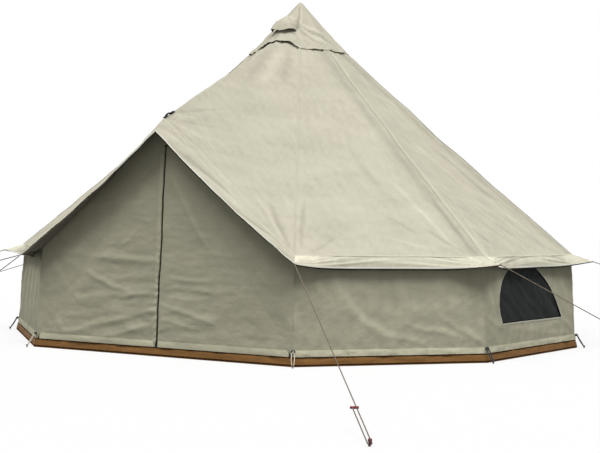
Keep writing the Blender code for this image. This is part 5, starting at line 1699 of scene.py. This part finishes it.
def hood_grid():
    """A gathered scoop over the vent, open at its lower lip, billowed to the door's left."""
    quarter = math.pi / 2.0
    rows = 37
    cols = 61
    grid = np.zeros((cols, rows, 3))
    for j in range(rows):
        down = j / (rows - 1)
        widening = math.sin(quarter * min(1.0, 1.4 * down))
        half = HOOD_HALF_WIDTH * (HOOD_TOP_SHARE + (1.0 - HOOD_TOP_SHARE) * widening)
        puff = HOOD_PUFF * math.sin(quarter * min(1.0, down / HOOD_CREST)) ** 1.1
        if down > HOOD_CREST:
            puff *= 0.42 + 0.58 * math.cos((down - HOOD_CREST) / 0.38 * math.pi / 2.0)
        for i in range(cols):
            across = 2.0 * i / (cols - 1) - 1.0
            reach = (HOOD_LIP_OUT - HOOD_TOP_OUT) * down * (1.0 - HOOD_LIP_CURVE * across * across)
            out = HOOD_TOP_OUT + reach
            push = math.exp(-((across + 0.80) / 0.22) ** 2) * down ** 1.3
            x = half * across
            seat = cap_height(x, -out)
            foot = cap_height(half, -out)
            crest = cap_height(0.0, -out)
            arch = foot + (crest - foot + puff) * math.sqrt(max(0.0, 1.0 - across * across))
            lift = max(0.0, arch - seat) + 0.006 * push if j else 0.0
            bow = across * abs(across)
            swing = math.sin(math.pi * min(1.0, down * 1.5)) ** 2
            gather = 0.0026 * math.sin(across * 15.0 + 3.0 * down) * swing
            gather += 0.0026 * math.sin(across * 29.0 + 1.0) * math.exp(-(down / 0.35) ** 2)
            gather -= 0.0085 * math.exp(-((across - 0.1) / 0.30) ** 2 - ((down - 0.22) / 0.08) ** 2)
            gather *= min(1.0, lift / 0.010)
            grid[i, j] = (
                x + 0.9 * bow * CLOTH - 0.035 * push,
                -out - 0.35 * lift - 0.3 * CLOTH - 0.5 * gather,
                seat + GAP + lift + CLOTH * (1.0 - 0.75 * abs(bow)) + gather,
            )
    return grid


hood_points = hood_grid()
hood_tone = 0.1 + 0.25 * ripples(hood_points, 0.05, 65)
hood = cloth("vent_hood_cloth", hood_points, roof_canvas, tone=hood_tone, shaded_inside=roof_inside_shade)
hood_edge = hood_points[:, -1]
hood_edge_up = unit(hood_points[:, -2] - hood_edge)
hood_edge_out = outward(hood_points)[:, -1]
hood_hem = strip("hood_hem", hood_edge + hood_edge_up * 0.006, hood_edge_up, hood_edge_out, roof_seam_canvas,
                 0.013, TAPE_SKIN)


def cap_toggles():
    """Small black toggles under the cap's skirt."""
    radius = np.array([0.0022, 0.0048, 0.0056, 0.0046, 0.0056, 0.0048, 0.0022])
    made = []
    for turn in TOGGLE_TURNS:
        i = int(np.argmin(np.abs(turn_gap(cap_around[:, -1], turn))))
        spot = cap_edge[i] - cap_edge_up[i] * 0.007 + cap_edge_out[i] * 0.001
        way = unit(cap_edge[(i + 1) % len(cap_edge)] - cap_edge[i - 1])
        path = spot + way * np.linspace(-0.013, 0.013, 7)[:, None]
        rings = round_rings(path, *beside(way), radius[:, None, None], 8)
        made.append(rings_mesh("toggle", rings, black_plastic))
    return joined("cap_toggles", made)


toggles = cap_toggles()
fit(cap, "roof_canvas", "crown_cap")
fit(cap_hem, "roof_canvas")
fit(hood, "roof_canvas", "vent_hood")
fit(hood_hem, "roof_canvas")
fit(vent_net_piece, "insect_mesh", "vent_mesh")
fit(toggles, "black_plastic")


# Webbing loop on the porch ridge
def peak_webbing():
    """A loop that stands up from the ridge, with a sewn tail on either side of it."""
    length = 0.055
    back = PEAK_RADIUS - 0.030 - length
    turn = np.linspace(0.0, math.pi, 33)
    out = back + length * (1.0 - np.cos(turn)) / 2.0
    rise = 0.010 * np.maximum(np.sin(turn), 0.0) ** 0.6

    def on_ridge(out, lift):
        return np.stack([np.zeros_like(out), -out, ridge_height(out) + lift], axis=1)

    tail = on_ridge(out[0] - np.linspace(0.045, 0.006, 6), 0.0030)
    front = on_ridge(out[-1] + np.linspace(0.006, 0.030, 6), 0.0030)
    path = np.concatenate([tail, on_ridge(out, 0.0037 + rise), front])
    normal = unit(np.cross(RIGHT, np.gradient(path, axis=0)))
    single = strip("peak_webbing_single", path, RIGHT, normal, webbing, 0.022, 0.0030)
    doubled = strip("peak_webbing_doubled", path[2:20], RIGHT, normal[2:20], webbing, 0.020, 0.0075,
                    lift=0.0030)
    return joined("peak_webbing", [single, doubled])


fit(peak_webbing(), "webbing", "peak_loop")


# Toggle, rubber band and peg at each floor corner. The peg is heights and radii from the ground up.
PEG_PROFILE = ((0.0002, 0.0045), (0.006, 0.0045), (0.012, 0.0045), (0.0155, 0.0046),
               (0.0165, 0.0095), (0.018, 0.0102), (0.020, 0.0098), (0.022, 0.0060))


def round_bar(name, points, radii, look, sides=14):
    """A bar through points that are given by their x, y and z, one of them an array."""
    path = np.stack(np.broadcast_arrays(*points), axis=1).astype(float)
    side, up = beside(unit(np.gradient(path, axis=0)))
    return rings_mesh(name, round_rings(path, side, up, np.reshape(radii, (-1, 1, 1)), sides), look)


def base_peg(index):
    """Local X points away from the tent, from under the corner of the tub."""
    black = index in (1, 2, 8)
    look = black_rubber if black else band_rubber
    thick = BAND_RADIUS * (1.6 if black else 1.0)
    x = wall_radius(TOGGLE_HEIGHT) - FLOOR_RADIUS + TOGGLE_RADIUS + GAP
    end = TOGGLE_LENGTH / 2.0
    steps = np.linspace(-end, end, 19)
    bulge = TOGGLE_RADIUS * clamp(1.0 - (np.abs(steps) / (end + 0.0006)) ** 2.6) ** 0.5
    bulge = bulge * (1.0 - 0.22 * bell(steps, 0.0028))
    parts = [round_bar("toggle", (x, steps, TOGGLE_HEIGHT), bulge, black_plastic)]
    t = even(25)
    px = x + 0.008 + (BASE_PEG_OUT - x - 0.008) * t ** 1.15
    pz = TOGGLE_HEIGHT - 0.002 + (0.012 - TOGGLE_HEIGHT + 0.002) * t
    for way in (-1.0, 1.0):
        py = way * (0.0032 + BAND_SPREAD * np.sin(math.pi * t ** 0.8) + 0.0020 * t)
        parts.append(round_bar("band", (px, py, pz), thick, look, 10))
    turn = np.linspace(0.0, math.pi, 13)
    low = (BASE_PEG_OUT + 0.0054 * np.sin(turn), -0.0054 * np.cos(turn), 0.0118)
    parts.append(round_bar("band_low", low, BAND_RADIUS, look, 10))
    high = (x + 0.0118 * np.sin(turn), -0.0036 * np.cos(turn), TOGGLE_HEIGHT - 0.0050 * np.cos(turn))
    parts.append(round_bar("band_high", high, 0.0024, look, 10))
    shaft = np.array([[BASE_PEG_OUT, 0.0, height] for height, radius in PEG_PROFILE])
    radii = np.array([radius for height, radius in PEG_PROFILE])[:, None, None]
    rings = round_rings(shaft, RIGHT, -FRONT, radii, 16)
    parts.append(rings_mesh("peg", rings, peg_dark))
    made = joined("corner_peg_%02d" % (index + 1), parts)
    place = Matrix.Translation(corner(index) * FLOOR_RADIUS)
    made.matrix_world = place @ Matrix.Rotation(corner_angle(index) - math.pi / 2.0, 4, "Z")
    return made


for index in range(CORNERS):
    fit(base_peg(index), "base_peg", "base_peg_%02d" % (index + 1))

# Better finishes for the rigid solids that stay
for name, look in (
    ("zip_slider", black_plastic), ("pole_foot", black_rubber), ("pole_lower", steel), ("pole_upper", steel),
    ("pole_finial", black_plastic), ("a_frame_elbow", steel), ("a_frame_leg_right", steel),
    ("a_frame_leg_left", steel), ("guy_runner_front_right", runner_red), ("guy_peg_front_right", peg_red),
):
    nodes[name].data.materials.clear()
    nodes[name].data.materials.append(look)


# Floor, background and light
STAGE_RADIUS = 160.0
STAGE_DROP = 0.0012
WHITE = (1.0, 1.0, 1.0, 1.0)


def seen_by_camera(tree):
    """1 where the camera looks, straight or by way of a shiny or clear thing, and 0 for light."""
    rays = add_node(tree, "ShaderNodeLightPath").outputs
    inputs = {0: rays["Is Camera Ray"], 1: rays["Is Glossy Ray"]}
    seen = add_node(tree, "ShaderNodeMath", inputs, operation="MAXIMUM").outputs[0]
    inputs = {0: seen, 1: rays["Is Transmission Ray"]}
    return add_node(tree, "ShaderNodeMath", inputs, operation="MAXIMUM").outputs[0]


def stage_floor():
    """A pale floor: nearly white where the camera sees it, with the tent's shadow on it."""
    made = bpy.data.materials.new("stage_floor")
    made.use_nodes = True
    tree = made.node_tree
    shader = tree.nodes["Principled BSDF"]
    shader.inputs["Roughness"].default_value = 0.95
    glow = add_node(tree, "ShaderNodeEmission", {"Color": WHITE, "Strength": 1.0})
    either = seen_by_camera(tree)
    part = add_node(tree, "ShaderNodeMath", {0: either, 1: 0.84}, operation="MULTIPLY")
    tones = {0: either, 6: (0.16, 0.16, 0.155, 1.0), 7: (0.80, 0.80, 0.79, 1.0)}
    tone = add_node(tree, "ShaderNodeMix", tones, data_type="RGBA")
    tree.links.new(tone.outputs[2], shader.inputs["Base Color"])
    inputs = {0: part.outputs[0], 1: shader.outputs[0], 2: glow.outputs[0]}
    blend = add_node(tree, "ShaderNodeMixShader", inputs)
    tree.links.new(blend.outputs[0], tree.nodes["Material Output"].inputs["Surface"])
    work = bmesh.new()
    bmesh.ops.create_circle(work, cap_ends=True, segments=64, radius=STAGE_RADIUS)
    mesh = mesh_from(work, "floor")
    mesh.materials.append(made)
    floor = placed("floor", mesh)
    floor.location = (0.0, 0.0, -STAGE_DROP)


def sky():
    """An even soft light from above, and plain white where the camera looks past the tent."""
    world = bpy.data.worlds.new("sky")
    bpy.context.scene.world = world
    world.use_nodes = True
    tree = world.node_tree
    light = tree.nodes["Background"]
    light.inputs["Color"].default_value = (0.98, 0.99, 1.0, 1.0)
    light.inputs["Strength"].default_value = 0.36
    white = add_node(tree, "ShaderNodeBackground", {"Color": WHITE, "Strength": 1.0})
    inputs = {0: seen_by_camera(tree), 1: light.outputs[0], 2: white.outputs[0]}
    blend = add_node(tree, "ShaderNodeMixShader", inputs)
    tree.links.new(blend.outputs[0], tree.nodes["World Output"].inputs["Surface"])


def lamp(name, strength, soft_deg, from_turn_deg, height_deg):
    """A soft sun from a compass heading and a height over the horizon."""
    data = bpy.data.lights.new(name, "SUN")
    data.energy = strength
    data.angle = math.radians(soft_deg)
    level = math.radians(height_deg)
    source = heading(math.radians(from_turn_deg)) * math.cos(level)
    source.z = math.sin(level)
    placed(name, data).rotation_euler = source.to_track_quat("Z", "Y").to_euler()


stage_floor()
sky()
lamp("key", strength=1.75, soft_deg=28.0, from_turn_deg=62.0, height_deg=60.0)
lamp("second", strength=1.30, soft_deg=28.0, from_turn_deg=-20.0, height_deg=60.0)
bpy.context.scene.view_settings.view_transform = "Standard"
